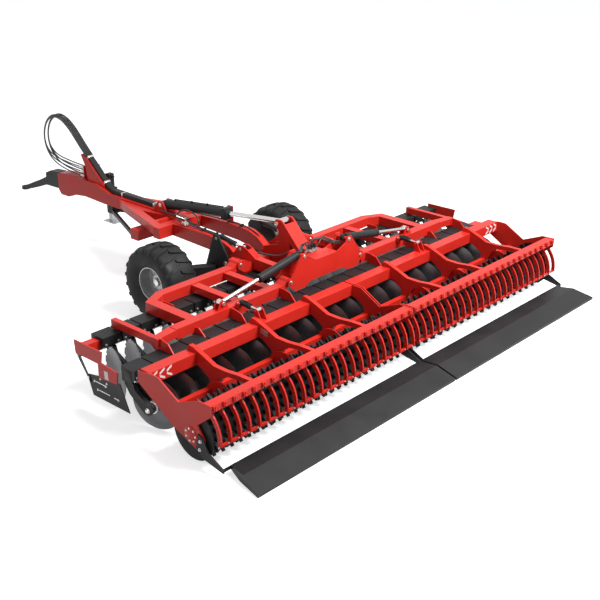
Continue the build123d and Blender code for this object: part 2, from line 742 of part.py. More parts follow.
def depth_clevis(side):
    """Two lugs on the rear tube for the rod of the depth cylinder."""
    pin_x, pin_z = DEPTH_ROD_PIN
    outline = [(-110, TUBE_TOP), (pin_x - 30, pin_z + 15), (pin_x, pin_z + 28), (pin_x + 24, pin_z), (-22, TUBE_TOP)]
    lug_inner, lug_outer = DEPTH_LUG_Y
    lugs = []
    for direction in SIDES.values():
        inner_face, outer_face = DEPTH_Y + direction * lug_inner, DEPTH_Y + direction * lug_outer
        lug = plate_xz(outline, inner_face, outer_face)
        lug += rod_y(pin_x, pin_z, outer_face, outer_face + direction * PIN_HEAD, 1.3 * DEPTH_PIN_RADIUS)
        lugs.append(mirrored(lug, side))
    return Compound(children=lugs)


def toothed_ring():
    """One flat ring, its teeth narrowing towards the tips."""
    outline = []
    for index in range(TEETH):
        for radius, half_width, direction in (
            (ROLLER_DRUM - 5, TOOTH_BASE / 2, -1),
            (ROLLER_RADIUS, TOOTH_TIP / 2, -1),
            (ROLLER_RADIUS, TOOTH_TIP / 2, 1),
            (ROLLER_DRUM - 5, TOOTH_BASE / 2, 1),
        ):
            turn = 2 * math.pi * index / TEETH + direction * half_width / radius
            outline.append((radius * math.sin(turn), radius * math.cos(turn)))
    return plate_xz(outline, -RING_THICK / 2, RING_THICK / 2)


def ring_roller(side):
    """Drum on a shaft with toothed rings, each turned a little further than the last, and a plain end disc."""
    shaft_start, shaft_end = SPLIT_GAP / 2 + 2, SIDE_PLATE_Y + SIDE_PLATE_THICK - 2
    drum_start, drum_end = ring_y(0) - RING_PITCH / 2, END_DISC_Y
    roller = rod_y(0, 0, shaft_start, shaft_end, ROLLER_SHAFT)
    roller += rod_y(0, 0, drum_start, drum_end, ROLLER_DRUM)
    roller += rod_y(0, 0, drum_end - END_DISC_THICK, drum_end, ROLLER_RADIUS - 4)
    ring = toothed_ring()
    rings = [Pos(0, ring_y(index), 0) * Rot(0, index * TOOTH_STEP, 0) * ring for index in range(RING_COUNT)]
    roller = roller.fuse(*rings)
    return mirrored(Pos(ROLLER_X, 0, ROLLER_RADIUS) * roller, side)


def scraper_bar(side):
    """Beam with a bent strip behind every gap of the roller and a bar along the feet."""
    x0 = SCRAPER_BEAM_X - SCRAPER_BEAM_DEPTH / 2
    x1 = SCRAPER_BEAM_X + SCRAPER_BEAM_DEPTH / 2
    start, stop = SPLIT_GAP / 2 + 12 + SEAT_GAP, SIDE_PLATE_Y - SEAT_GAP
    bar_solid = block(x0, x1, start, stop, SCRAPER_BEAM_TOP - SCRAPER_BEAM_HEIGHT, SCRAPER_BEAM_TOP)

    def on_circle(radius, angle):
        turn = math.radians(angle)
        return (STRIP_MIDDLE[0] + radius * math.cos(turn), STRIP_MIDDLE[1] + radius * math.sin(turn))

    steps = 6
    span = STRIP_FOOT_ANGLE - STRIP_TOP_ANGLE
    angles = [STRIP_TOP_ANGLE + span * index / steps for index in range(steps + 1)]
    half = STRIP_THICK / 2
    inner = [on_circle(STRIP_RADIUS - half, angle) for angle in angles]
    outer = [on_circle(STRIP_RADIUS + half, angle) for angle in reversed(angles)]
    neck = [
        (x0 - 26, SCRAPER_BEAM_TOP - 52),
        (x0 - 22, SCRAPER_BEAM_TOP - 5),
        (x0 + 8, SCRAPER_BEAM_TOP - 5),
        (x0 + 8, SCRAPER_BEAM_TOP - 60),
    ]
    clamp = block(x0 - 16, x0 + 2, -STRIP_CLAMP_WIDTH / 2, STRIP_CLAMP_WIDTH / 2, SCRAPER_BEAM_TOP - 58, SCRAPER_BEAM_TOP - 3)
    strip_outline = inner + outer + neck
    first = ring_y(0) - RING_PITCH / 2
    last = first + RING_COUNT * RING_PITCH
    strip = plate_xz(strip_outline, -STRIP_WIDTH / 2, STRIP_WIDTH / 2) + clamp
    foot_x, foot_z = on_circle(STRIP_RADIUS, STRIP_FOOT_ANGLE)
    half_foot = FOOT_BAR / 2
    foot_bar = block(foot_x - half_foot, foot_x + half_foot, first - 12, last + 12, foot_z - 10, foot_z + 14)
    strips = [Pos(0, first + index * RING_PITCH, 0) * strip for index in range(RING_COUNT + 1)]
    bar_solid = bar_solid.fuse(foot_bar, *strips)
    bar_solid -= block(x0 - 40, x1, 0, start, SCRAPER_BEAM_TOP - 100, SCRAPER_BEAM_TOP + 10)
    return mirrored(bar_solid, side)


def levelling_board(side):
    section = [(-1140, 45), (-1140, 85), (-1360, 100), (BOARD_REAR_X, 30), (BOARD_REAR_X, 0), (-1300, 0)]
    board = plate_xz(section, BOARD_START_Y, HALF_WIDTH)
    plan = [
        (-1140, BOARD_START_Y),
        (-1140, BOARD_FRONT_HALF),
        (BOARD_REAR_X, HALF_WIDTH),
        (BOARD_REAR_X, BOARD_START_Y),
    ]
    board = board & plate_xy(plan, -1, 101)
    arm = [(-830, 330), (-795, 170), (-900, 90), (-1140, 45), (-1160, 48), (-1160, 86), (-960, 180), (-900, 300)]
    outer_y = SIDE_PLATE_Y + SIDE_PLATE_THICK
    inner_y = SPLIT_GAP / 2 + 12
    board += plate_xz(arm, outer_y, outer_y + BOARD_ARM_THICK)
    board += block(-1150, -1140, BOARD_FRONT_HALF - 40, outer_y + BOARD_ARM_THICK, 50, 84)
    board += plate_xz(arm, inner_y, inner_y + BOARD_ARM_THICK)
    return mirrored(board, side)


# ---------------------------------------------------------------- drawbar
def drawbar_frame():
    leg = [
        (1450, 722),
        (1560, 800),
        (1700, 850),
        (2000, 870),
        (CROSS_TUBE_X[1], 852),
        (CROSS_TUBE_X[1], 704),
        (1900, 680),
        (1620, 645),
        (1450, 598),
    ]
    bar_frame = None
    for sign in SIDES.values():
        y0, y1 = sign * (LEG_Y - LEG_WIDTH / 2), sign * (LEG_Y + LEG_WIDTH / 2)
        side_leg = plate_xz(leg, y0, y1) + rod_y(PIVOT_X, PIVOT_Z, y0, y1, PIVOT_LUG)
        side_leg -= rod_y(PIVOT_X, PIVOT_Z, y0 * 0.9, y1 * 1.1, PIVOT_RADIUS + PIN_FIT)
        bar_frame = side_leg if bar_frame is None else bar_frame + side_leg
        gusset = plate_xy([(x, sign * y) for x, y in GUSSET_PLAN], 735, 848)
        for window in GUSSET_WINDOWS:
            gusset -= plate_xy([(x, sign * y) for x, y in window], 700, 900)
        bar_frame += gusset
    bar_frame += block(*CROSS_TUBE_X, -CROSS_TUBE_HALF, CROSS_TUBE_HALF, 705, 852)
    bar_frame += block(2080, 2175, -292, -280, 840, 1065)
    spine = [
        (CROSS_TUBE_X[0], 702),
        (CROSS_TUBE_X[0], 862),
        (4150, 866),
        (4420, 955),
        (5150, 962),
        (5300, 948),
        (5350, 918),
        (5350, 690),
        (5290, 625),
        (5110, 628),
        (4921, 695),
        (4700, 718),
        (4300, 702),
    ]
    bar_frame += plate_xz(spine, -SPINE_WIDTH / 2, SPINE_WIDTH / 2)
    bar_frame += block(*LOWER_BEAM_X, -500, 500, 566, 706)
    pin_x, pin_z = MAIN_BARREL_PIN
    for y0 in (-88, 68):
        lug = [(pin_x - 120, 860), (pin_x - 45, pin_z + 45), (pin_x + 45, pin_z + 45), (pin_x + 150, 860)]
        bar_frame += plate_xz(lug, y0, y0 + 20)
    bar_frame += rod_y(pin_x, pin_z, -88, 88, TOWER_PIN_RADIUS)
    return bar_frame


def brace_bars():
    """Two bars from a block under the spine to the ends of the cross beam."""
    braces = block(4140, 4260, -60, 60, 575, 702)
    for sign in SIDES.values():
        braces += bar((4160, sign * 40, 615), (LOWER_BEAM_X[1] + 2, sign * 460, 615), 40, 50)
    return braces - block(LOWER_BEAM_X[0], LOWER_BEAM_X[1], -600, 600, 500, 720)


def hitch_tongue():
    tongue = plate_xz(
        [
            (5350, 694),
            (5350, 938),
            (5560, 924),
            (5680, 870),
            (5680, 808),
            (5820, 740),
            (6310, 540),
            (6310, 470),
            (5905, 605),
            (5700, 684),
        ],
        -70,
        70,
    )
    eye_radius = 60
    eye_x = HITCH_X - eye_radius
    tongue -= block(6300 - 250, 6400, 45, 80, 400, 700) + block(6300 - 250, 6400, -80, -45, 400, 700)
    tongue += Pos(eye_x, 0, HITCH_EYE_Z) * Cylinder(eye_radius, HITCH_EYE_THICK)
    tongue -= Pos(eye_x, 0, HITCH_EYE_Z) * Cylinder(HITCH_BORE_RADIUS, 300)
    return tongue


def hose_mast():
    """Plate box on the spine that holds the hoses up; its foot follows the bend of the spine."""
    foot = [(4300, 915.9), (4420, 955.6), (4640, 957.6)]
    body = [(4672, 1030), (4692, 1150), (4782, 1310), (4737, 1327), (4682, 1297), (4300, 968)]
    return plate_xz(foot + body, -MAST_HALF, MAST_HALF)


def hose_guide():
    """Black channel that covers the hoses behind the mast and along the top of the spine."""
    along_mast = [(4300, 968), (4668, 1285), (4645.2, 1311.5), (4277.2, 994.5), (4240, 962), (4240, 900)]
    guide = plate_xz(along_mast, -GUIDE_HALF, GUIDE_HALF)
    along_spine = [(4300, 916), (4300, 975), (4277.2, 994.5), (4150, 925), (3250, 918), (3250, 864.6), (4150, 867)]
    return guide + plate_xz(along_spine, -GUIDE_HALF, GUIDE_HALF) - hose_mast()


def hose_couplers():
    """Plugs of the six hoses, parked in two columns on a plate in front of the mast."""
    plate_front = 4745
    pieces = []
    for row_z in COUPLER_ROWS:
        for y in COUPLER_Y:
            pieces.append(rod((plate_front, y, row_z), (COUPLER_END_X, y, row_z), COUPLER_RADIUS))
    return Compound(children=pieces)


def coupler_plate():
    """Plate bolted to the front of the mast that the plugs are pushed into."""
    plate = block(4733, 4745 - SEAT_GAP, -62, 62, 960, 1150)
    for z in (985, 1120):
        plate += block(4640, 4740, -12, 12, z - 10, z + 10)
    return plate - hose_mast()


def hose(index):
    """One hose: out of the top of the guide, round a free loop and back to its plug."""
    column, row = (0 if index < 3 else 1), index % 3
    start_y = (index - 2.5) * HOSE_PITCH
    end_y = COUPLER_Y[column]
    size = 1 - 0.04 * row
    centre_x, centre_z = HOSE_LOOP_MIDDLE
    last = len(HOSE_LOOP) - 1
    points = []
    for step, (x, z) in enumerate(HOSE_LOOP):
        share = min(1, max(0, (step - 1) / (last - 2)))
        swell = math.sin(math.pi * share)
        late = max(0, share - 0.55) / 0.45
        late = late * late * (3 - 2 * late)
        x_here = x + (size - 1) * swell * (x - centre_x)
        z_here = z + (size - 1) * swell * (z - centre_z) + late * (COUPLER_ROWS[row] - HOSE_LOOP[-1][1])
        y_here = start_y + (end_y - start_y) * share
        points.append((x_here, y_here, z_here))
    return tube_along(points, HOSE_RADIUS)


def tube_along(points, radius):
    """Round tube of straight runs joined by tangent arcs."""
    points = [Vector(point) for point in points]
    radii = []
    for before, here, after in zip(points, points[1:], points[2:]):
        first, second = here - before, after - here
        turn = math.radians(first.get_angle(second))
        radii.append(0.45 * min(first.length, second.length) / math.tan(turn / 2))
    route = FilletPolyline(*points, radius=radii)
    print("   smallest radius", round(min(radii)), "length", round(route.length))
    section = Plane(origin=points[0], z_dir=points[1] - points[0]) * Circle(radius)
    tube = sweep(section, path=route)
    print("   volume over section times length", round(tube.volume / (math.pi * radius**2 * route.length), 4))
    return tube


def jack_tube():
    half = JACK_TUBE / 2
    inner = half - JACK_WALL
    tube = block(JACK_X - half, JACK_X + half, JACK_Y - half, JACK_Y + half, JACK_TUBE_BOTTOM, JACK_TUBE_TOP)
    tube -= block(JACK_X - inner, JACK_X + inner, JACK_Y - inner, JACK_Y + inner, 0, JACK_TUBE_TOP - 8)
    tube += block(JACK_X - 60, JACK_X + 60, JACK_Y + half, -SPINE_WIDTH / 2, 730, 850)
    return tube


def jack_leg():
    half = JACK_LEG / 2
    foot_top = JACK_FOOT_Z + JACK_FOOT_THICK
    leg = block(JACK_X - half, JACK_X + half, JACK_Y - half, JACK_Y + half, foot_top, foot_top + 650)
    return leg + block(JACK_X - 120, JACK_X + 120, JACK_Y - 75, JACK_Y + 75, JACK_FOOT_Z, foot_top)


# ---------------------------------------------------------------- axle and wheels
def axle_frame():
    plate = [(1405, 600), (1405, 700), (1560, 930), (1590, 985), (1660, 985), (1690, 920), (1820, 560), (1700, 430), (1560, 430)]
    axle = rod((1600, -AXLE_PLATE_Y, 500), (1600, AXLE_PLATE_Y, 500), 40)
    for sign in SIDES.values():
        y0 = sign * (AXLE_PLATE_Y - AXLE_PLATE_THICK / 2)
        y1 = sign * (AXLE_PLATE_Y + AXLE_PLATE_THICK / 2)
        side_plate = plate_xz(plate, y0, y1)
        side_plate -= rod_y(PIVOT_X, PIVOT_Z, sign * 400, sign * 460, PIVOT_RADIUS + PIN_FIT)
        axle += side_plate + rod_y(*LIFT_BARREL_PIN, sign * (LIFT_Y - 25), y1, LIFT_PIN_RADIUS)
        axle += bar((1640, sign * 435, 515), (WHEEL_X, sign * 745, TYRE_RADIUS), 130, 165)
        axle += rod_y(WHEEL_X, TYRE_RADIUS, sign * 690, sign * (WHEEL_Y + 20), STUB_RADIUS)
    return axle


def tyre(side):
    carcass = TYRE_RADIUS - LUG_HEIGHT
    half = TYRE_WIDTH / 2
    profile = [
        (RIM_RADIUS, -half + 55),
        (RIM_RADIUS + 40, -half + 12),
        (RIM_RADIUS + 110, -half),
        (carcass - 55, -half + 8),
        (carcass - 12, -half + 40),
        (carcass, -half + 110),
        (carcass, half - 110),
        (carcass - 12, half - 40),
        (carcass - 55, half - 8),
        (RIM_RADIUS + 110, half),
        (RIM_RADIUS + 40, half - 12),
        (RIM_RADIUS, half - 55),
    ]
    ring = revolve(make_face(Polyline([(radius, y) for radius, y in profile], close=True)), Axis.Y)
    for index in range(LUG_COUNT):
        turn = index * 360 / LUG_COUNT
        for flank, offset in ((1, 0), (-1, 180 / LUG_COUNT)):
            length = half - 12
            lug = Pos(0, flank * length / 2, TYRE_RADIUS - 32) * Rot(0, 0, flank * 28) * Box(46, length, 64)
            ring += Rot(0, turn + offset, 0) * lug & ring_limit(half)
    return Pos(WHEEL_X, SIDES[side] * WHEEL_Y, TYRE_RADIUS) * ring


def ring_limit(half):
    """Envelope the lugs stay in."""
    outline = [(RIM_RADIUS + 90, -half), (TYRE_RADIUS - 40, -half), (TYRE_RADIUS, -half + 60)]
    outline += [(radius, -y) for radius, y in reversed(outline)]
    return revolve(make_face(Polyline([(radius, y) for radius, y in outline], close=True)), Axis.Y)


def rim(side):
    half = TYRE_WIDTH / 2 - 55
    dish = [
        (STUB_RADIUS + PIN_FIT, -40),
        (STUB_RADIUS + PIN_FIT, 60),
        (90, 60),
        (90, 24),
        (RIM_RADIUS - 20, 24),
        (RIM_RADIUS - 12, half),
        (RIM_RADIUS, half),
        (RIM_RADIUS, -half),
        (RIM_RADIUS - 12, -half),
        (RIM_RADIUS - 20, 10),
        (90, 10),
        (90, -40),
    ]
    wheel = revolve(make_face(Polyline([(radius, y) for radius, y in dish], close=True)), Axis.Y)
    for index in range(8):
        turn = math.radians(index * 45)
        at = (125 * math.cos(turn), 24, 125 * math.sin(turn))
        wheel += rod(at, (at[0], 38, at[2]), 11)
    return Pos(WHEEL_X, SIDES[side] * WHEEL_Y, TYRE_RADIUS) * (wheel if side == "left" else mirror(wheel, about=Plane.XZ))


# ---------------------------------------------------------------- all cylinders, drawn for the left
TOWARDS_LEFT = (0, 1, 0)
TOWARDS_FRONT = (1, 0, 0)


def main_cylinder():
    return cylinder_pair(
        at_y(MAIN_BARREL_PIN, 0),
        at_y(TOWER_PIN, 0),
        TOWARDS_LEFT,
        (MAIN_BARREL_RADIUS, MAIN_BARREL_LENGTH),
        MAIN_ROD_RADIUS,
        130,
        TOWER_PIN_RADIUS,
        MAIN_RETRACT,
    )


def lift_cylinders():
    pieces = [[], []]
    for sign in SIDES.values():
        pair = cylinder_pair(
            at_y(LIFT_BARREL_PIN, sign * LIFT_Y),
            at_y(LIFT_ROD_PIN, sign * LIFT_Y),
            TOWARDS_LEFT,
            (LIFT_BARREL_RADIUS, LIFT_BARREL_LENGTH),
            LIFT_ROD_RADIUS,
            44,
            LIFT_PIN_RADIUS,
            LIFT_RETRACT,
        )
        pieces[0].append(pair[0])
        pieces[1].append(pair[1])
    return Compound(children=pieces[0]), Compound(children=pieces[1])


def fold_cylinder(side):
    pair = cylinder_pair(
        at_x(FOLD_CYL_X, FOLD_BARREL_PIN, 1),
        at_x(FOLD_CYL_X, FOLD_ROD_PIN, 1),
        TOWARDS_FRONT,
        (FOLD_BARREL_RADIUS, FOLD_BARREL_LENGTH),
        FOLD_ROD_RADIUS,
        50,
        FOLD_PIN_RADIUS,
        FOLD_RETRACT,
    )
    return [mirrored(piece, side) for piece in pair]


def depth_cylinder(side):
    pair = cylinder_pair(
        at_y(DEPTH_BARREL_PIN, DEPTH_Y),
        at_y(DEPTH_ROD_PIN, DEPTH_Y),
        TOWARDS_LEFT,
        (DEPTH_BARREL_RADIUS, DEPTH_BARREL_LENGTH),
        DEPTH_PIN_RADIUS,
        2 * DEPTH_LUG_Y[0] - 4,
        DEPTH_PIN_RADIUS,
        DEPTH_RETRACT,
    )
    return [mirrored(piece, side) for piece in pair]


# ---------------------------------------------------------------- export
if __name__ == "__main__":
    nodes = {
        "centre_frame": centre_frame(),
        "lift_cheeks": lift_cheeks(),
        "top_link_tower": top_link_tower(),
        "valve_block": valve_block(),
        "drawbar_frame": drawbar_frame(),
        "brace_bars": brace_bars(),
        "hitch_tongue": hitch_tongue(),
        "hose_mast": hose_mast(),
        "hose_guide": hose_guide(),
        "coupler_plate": coupler_plate(),
        "hose_couplers": hose_couplers(),
        "jack_tube": jack_tube(),
        "jack_leg": jack_leg(),
        "axle_frame": axle_frame(),
    }
    nodes["centre_gang_arms"], nodes["centre_discs"] = gang(fixed_rows)
    nodes["main_barrel"], nodes["main_rod"] = main_cylinder()
    nodes["lift_barrels"], nodes["lift_rods"] = lift_cylinders()
    for index in range(6):
        nodes[f"hose_{index + 1}"] = hose(index)
    for side in SIDES:
        nodes[f"wing_frame_{side}"] = wing_frame(side)
        nodes[f"cylinder_lugs_{side}"] = cylinder_lugs(side)
        nodes[f"wing_gang_arms_{side}"], nodes[f"wing_discs_{side}"] = gang(wing_rows[side])
        nodes[f"end_deflector_{side}"] = end_deflector(side)
        nodes[f"roller_frame_{side}"] = roller_frame(side)
        nodes[f"depth_clevis_{side}"] = depth_clevis(side)
        nodes[f"ring_roller_{side}"] = ring_roller(side)
        nodes[f"scraper_bar_{side}"] = scraper_bar(side)
        nodes[f"levelling_board_{side}"] = levelling_board(side)
        nodes[f"tyre_{side}"] = tyre(side)
        nodes[f"rim_{side}"] = rim(side)
        nodes[f"fold_barrel_{side}"], nodes[f"fold_rod_{side}"] = fold_cylinder(side)
        nodes[f"depth_barrel_{side}"], nodes[f"depth_rod_{side}"] = depth_cylinder(side)
    for name, shape in nodes.items():
        save(name, shape)
        box = shape.bounding_box()
        print(name, len(shape.solids()), [round(v) for v in (*box.min, *box.max)])
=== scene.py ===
"""Looks of the trailed folding disc harrow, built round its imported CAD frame. Metres, +X forwards."""

import bmesh
import bpy
import math
from mathutils import Matrix, Vector


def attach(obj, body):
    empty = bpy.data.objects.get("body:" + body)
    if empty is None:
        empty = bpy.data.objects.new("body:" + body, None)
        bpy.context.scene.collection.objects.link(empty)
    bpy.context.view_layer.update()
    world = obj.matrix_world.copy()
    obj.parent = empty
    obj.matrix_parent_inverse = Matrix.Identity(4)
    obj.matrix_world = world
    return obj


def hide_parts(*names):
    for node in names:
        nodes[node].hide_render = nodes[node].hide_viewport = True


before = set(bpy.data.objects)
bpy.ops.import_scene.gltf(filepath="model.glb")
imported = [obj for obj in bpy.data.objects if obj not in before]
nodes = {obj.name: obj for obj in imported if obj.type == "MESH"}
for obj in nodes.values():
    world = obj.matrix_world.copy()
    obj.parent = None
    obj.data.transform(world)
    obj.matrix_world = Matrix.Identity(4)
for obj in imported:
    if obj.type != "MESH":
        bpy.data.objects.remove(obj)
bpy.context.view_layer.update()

# Distances along the machine are counted from DATUM, 0.15 m behind the beam of the rear gang.
DATUM = -2.405
SIDES = (("left", 1), ("right", -1))

# ---- camera
# Stands behind the left wing and looks down over the whole machine towards the hitch.
CAMERA_PLACE = (-9.467, 8.37, 5.19)
CAMERA_HEADING = math.radians(47.31)
CAMERA_DOWN = math.radians(23.34)
camera_data = bpy.data.cameras.new("camera")
camera_data.lens = 62.24
camera_data.sensor_width = 36.0
camera = bpy.data.objects.new("camera", camera_data)
bpy.context.scene.collection.objects.link(camera)
camera.location = CAMERA_PLACE
level = math.cos(CAMERA_DOWN)
look = Vector((math.cos(CAMERA_HEADING) * level, -math.sin(CAMERA_HEADING) * level, -math.sin(CAMERA_DOWN)))
camera.rotation_euler = look.to_track_quat("-Z", "Y").to_euler()
bpy.context.scene.camera = camera

# ---- finishes
# Every finish is one kind of surface, with its own colour, gloss and grain. Its patches are read in the
# machine's own metres, so a pattern runs on from one piece to the next.


def make_finish(name, color, rough, metal=0.0, specular=0.5, drift=0.08, patch=6.0, grain=0.0,
                grain_size=0.005, stretch=(1, 1, 1)):
    """Finish whose colour and gloss drift in patches and whose surface carries a fine grain."""
    material = bpy.data.materials.new(name)
    material.use_nodes = True
    tree = material.node_tree
    shader = tree.nodes["Principled BSDF"]
    where = tree.nodes.new("ShaderNodeTexCoord")
    layout = tree.nodes.new("ShaderNodeMapping")
    layout.inputs["Scale"].default_value = stretch
    tree.links.new(where.outputs["Object"], layout.inputs["Vector"])
    patches = tree.nodes.new("ShaderNodeTexNoise")
    patches.inputs["Scale"].default_value = patch
    patches.inputs["Detail"].default_value = 7.0
    patches.inputs["Roughness"].default_value = 0.62
    tree.links.new(layout.outputs["Vector"], patches.inputs["Vector"])
    shades = tree.nodes.new("ShaderNodeValToRGB")
    shades.color_ramp.elements[0].position = 0.32
    shades.color_ramp.elements[0].color = (*[c * (1 - drift) for c in color], 1)
    shades.color_ramp.elements[1].position = 0.68
    shades.color_ramp.elements[1].color = (*[min(1.0, c * (1 + drift)) for c in color], 1)
    tree.links.new(patches.outputs["Fac"], shades.inputs["Fac"])
    tree.links.new(shades.outputs["Color"], shader.inputs["Base Color"])
    gloss = tree.nodes.new("ShaderNodeMapRange")
    gloss.inputs["From Min"].default_value = 0.3
    gloss.inputs["From Max"].default_value = 0.7
    gloss.inputs["To Min"].default_value = rough * 0.82
    gloss.inputs["To Max"].default_value = min(1.0, rough * 1.22)
    tree.links.new(patches.outputs["Fac"], gloss.inputs["Value"])
    tree.links.new(gloss.outputs["Result"], shader.inputs["Roughness"])
    shader.inputs["Metallic"].default_value = metal
    shader.inputs["Specular IOR Level"].default_value = specular
    fine = tree.nodes.new("ShaderNodeTexNoise")
    fine.inputs["Scale"].default_value = 1 / grain_size
    fine.inputs["Detail"].default_value = 3.0
    tree.links.new(layout.outputs["Vector"], fine.inputs["Vector"])
    relief = tree.nodes.new("ShaderNodeBump")
    relief.inputs["Strength"].default_value = grain
    relief.inputs["Distance"].default_value = 0.001
    tree.links.new(fine.outputs["Fac"], relief.inputs["Height"])
    tree.links.new(relief.outputs["Normal"], shader.inputs["Normal"])
    return material


def give_finish(material, *names):
    """Gives CAD nodes a finish, in place of what they had."""
    for name in names:
        slots = nodes[name].data.materials
        slots.clear()
        slots.append(material)


def both(*stems):
    """Names of the left and the right piece of every stem."""
    return [f"{stem}_{side}" for stem in stems for side, sign in SIDES]


# ---- shapes
# Small parts are turned, boxed or swept here, and every finished piece is given the body that it rides on.


def add_piece(name, build, material, body, sharp=35):
    """Makes a bmesh a piece that rides on a body, with edges over the sharp angle left crisp."""
    mesh = bpy.data.meshes.new(name)
    for face in build.faces:
        face.smooth = True
    build.to_mesh(mesh)
    build.free()
    mesh.set_sharp_from_angle(angle=math.radians(sharp))
    mesh.materials.append(material)
    made = bpy.data.objects.new(name, mesh)
    bpy.context.scene.collection.objects.link(made)
    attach(made, body)
    return made


def add_line(name, points, radius, material, body, fineness=10):
    """Round hose or pipe whose middle line is a smooth curve with these control points."""
    data = bpy.data.curves.new(name, "CURVE")
    data.dimensions = "3D"
    data.resolution_u = fineness
    data.bevel_depth = radius
    data.bevel_resolution = 3
    data.use_fill_caps = True
    line = data.splines.new("NURBS")
    line.points.add(len(points) - 1)
    for point, place in zip(line.points, points):
        point.co = (*place, 1)
    line.order_u = 3
    line.use_endpoint_u = True
    data.materials.append(material)
    made = bpy.data.objects.new(name, data)
    bpy.context.scene.collection.objects.link(made)
    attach(made, body)
    return made


def join(build, part, place):
    """Puts a shape in its place and joins it to a larger build."""
    bmesh.ops.transform(part, matrix=place, verts=part.verts[:])
    carrier = bpy.data.meshes.new("carrier")
    part.to_mesh(carrier)
    part.free()
    build.from_mesh(carrier)
    bpy.data.meshes.remove(carrier)


def turn(build, profile, foot, direction, steps=24):
    """Turned part: a profile of distances along the axis and radii, spun round a direction from a foot."""
    part = bmesh.new()
    row = [part.verts.new((radius, 0, along)) for along, radius in profile]
    edges = [part.edges.new(pair) for pair in zip(row, row[1:])]
    bmesh.ops.spin(part, geom=row + edges, axis=(0, 0, 1), angle=2 * math.pi, steps=steps, use_merge=True)
    bmesh.ops.remove_doubles(part, verts=part.verts[:], dist=1e-6)
    bmesh.ops.recalc_face_normals(part, faces=part.faces[:])
    upright = Vector(direction).to_track_quat("Z", "Y").to_matrix().to_4x4()
    join(build, part, Matrix.Translation(foot) @ upright)


def add_box(build, size, edge, place, segments=2):
    """Rounded block of that size, put where the matrix says."""
    part = bmesh.new()
    bmesh.ops.create_cube(part, size=1.0)
    bmesh.ops.scale(part, vec=size, verts=part.verts[:])
    bmesh.ops.bevel(
        part, geom=part.edges[:], offset=edge, affect="EDGES", segments=segments, profile=0.5, material=-1
    )
    join(build, part, place)


def add_nut(build, foot, direction, size, washer=True):
    """Hexagon head on a washer, standing on a foot and facing a direction."""
    facing = Vector(direction).normalized()
    upright = facing.to_track_quat("Z", "Y").to_matrix().to_4x4()
    height = size * 0.8
    if washer:
        ring = Matrix.Translation(Vector(foot) + facing * size * 0.09) @ upright
        bmesh.ops.create_cone(build, cap_ends=True, segments=16, radius1=size * 1.35, radius2=size * 1.3,
                              depth=size * 0.18, matrix=ring)
    head = Matrix.Translation(Vector(foot) + facing * (size * 0.15 + height / 2)) @ upright
    bmesh.ops.create_cone(build, cap_ends=True, segments=6, radius1=size, radius2=size * 0.94,
                          depth=height, matrix=head)


# ---- supply hoses
# Six two-wire hydraulic hoses leave the top of the guide, swing forwards in one free loop and come
# back to plugs parked on the front of the mast. Black rubber cover, crimped steel ferrule at the plug.
hose_rubber = make_finish("hose_rubber", (0.02, 0.02, 0.021), 0.42, drift=0.25, patch=14.0, grain=0.25,
                          grain_size=0.004)
bright_zinc = make_finish("bright_zinc", (0.62, 0.62, 0.6), 0.28, metal=0.85, drift=0.14, patch=40.0,
                          grain=0.1)

HOSE_RADIUS = 0.009
HOSE_LOOP = [
    (2.2516, 1.29825),
    (2.3652, 1.3961),
    (2.485, 1.518),
    (2.605, 1.635),
    (2.745, 1.732),
    (2.905, 1.780),
    (3.055, 1.757),
    (3.185, 1.668),
    (3.267, 1.532),
    (3.292, 1.385),
    (3.255, 1.250),
    (3.155, 1.150),
    (3.000, 1.092),
    (2.815, 1.068),
    (2.585, 1.052),
    (2.415, 1.052),
]
LOOP_MIDDLE = (2.825, 1.400)
LOOP_STEP = 0.04
HOSE_COUNT = 6
HOSE_SPACING = 0.022
PLUG_X = 2.340
PLUG_ROWS = (0.990, 1.052, 1.114)
PLUG_Y = (-0.032, 0.032)
DROP_START = 0.55
# Quick-release nose, swivel nut, sleeve and crimped ferrule: one turned piece on the end of the hose.
plug_profile = [
    (0, 0), (0, 0.0125), (0.012, 0.0125), (0.012, 0.017), (0.03, 0.017), (0.03, 0.0145),
    (0.034, 0.0145), (0.034, 0.0165), (0.052, 0.0165), (0.052, 0.0135),
    (0.06, 0.0135), (0.06, 0.0168), (0.072, 0.0168),
    (0.075, 0.0125), (0.105, 0.0125), (0.109, 0.0112), (0.112, 0.0088),
]
last = len(HOSE_LOOP) - 1
for index in range(HOSE_COUNT):
    column, row = divmod(index, HOSE_COUNT // 2)
    start_y = (index - (HOSE_COUNT - 1) / 2) * HOSE_SPACING
    size = 1 - LOOP_STEP * row
    route = []
    for step, (x, z) in enumerate(HOSE_LOOP):
        share = min(1, max(0, (step - 1) / (last - 2)))
        swell = math.sin(math.pi * share)
        late = max(0, share - DROP_START) / (1 - DROP_START)
        late = late * late * (3 - 2 * late)
        x_here = x + (size - 1) * swell * (x - LOOP_MIDDLE[0])
        drop = late * (PLUG_ROWS[row] - HOSE_LOOP[-1][1])
        z_here = z + (size - 1) * swell * (z - LOOP_MIDDLE[1]) + drop
        route.append((x_here, start_y + (PLUG_Y[column] - start_y) * share, z_here))
    hose = add_line(f"supply_hose_{index + 1}", route, HOSE_RADIUS, hose_rubber, "drawbar", fineness=14)
    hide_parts(f"hose_{index + 1}")
    plug_build = bmesh.new()
    turn(plug_build, plug_profile, (PLUG_X, PLUG_Y[column], PLUG_ROWS[row]), (1, 0, 0), steps=30)
    hose_plug = add_piece(f"hose_plug_{index + 1}", plug_build, bright_zinc, "drawbar")
    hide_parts("hose_couplers")

# ---- studio
# Pale floor and white surroundings, one large soft lamp behind and above, and a low even fill.


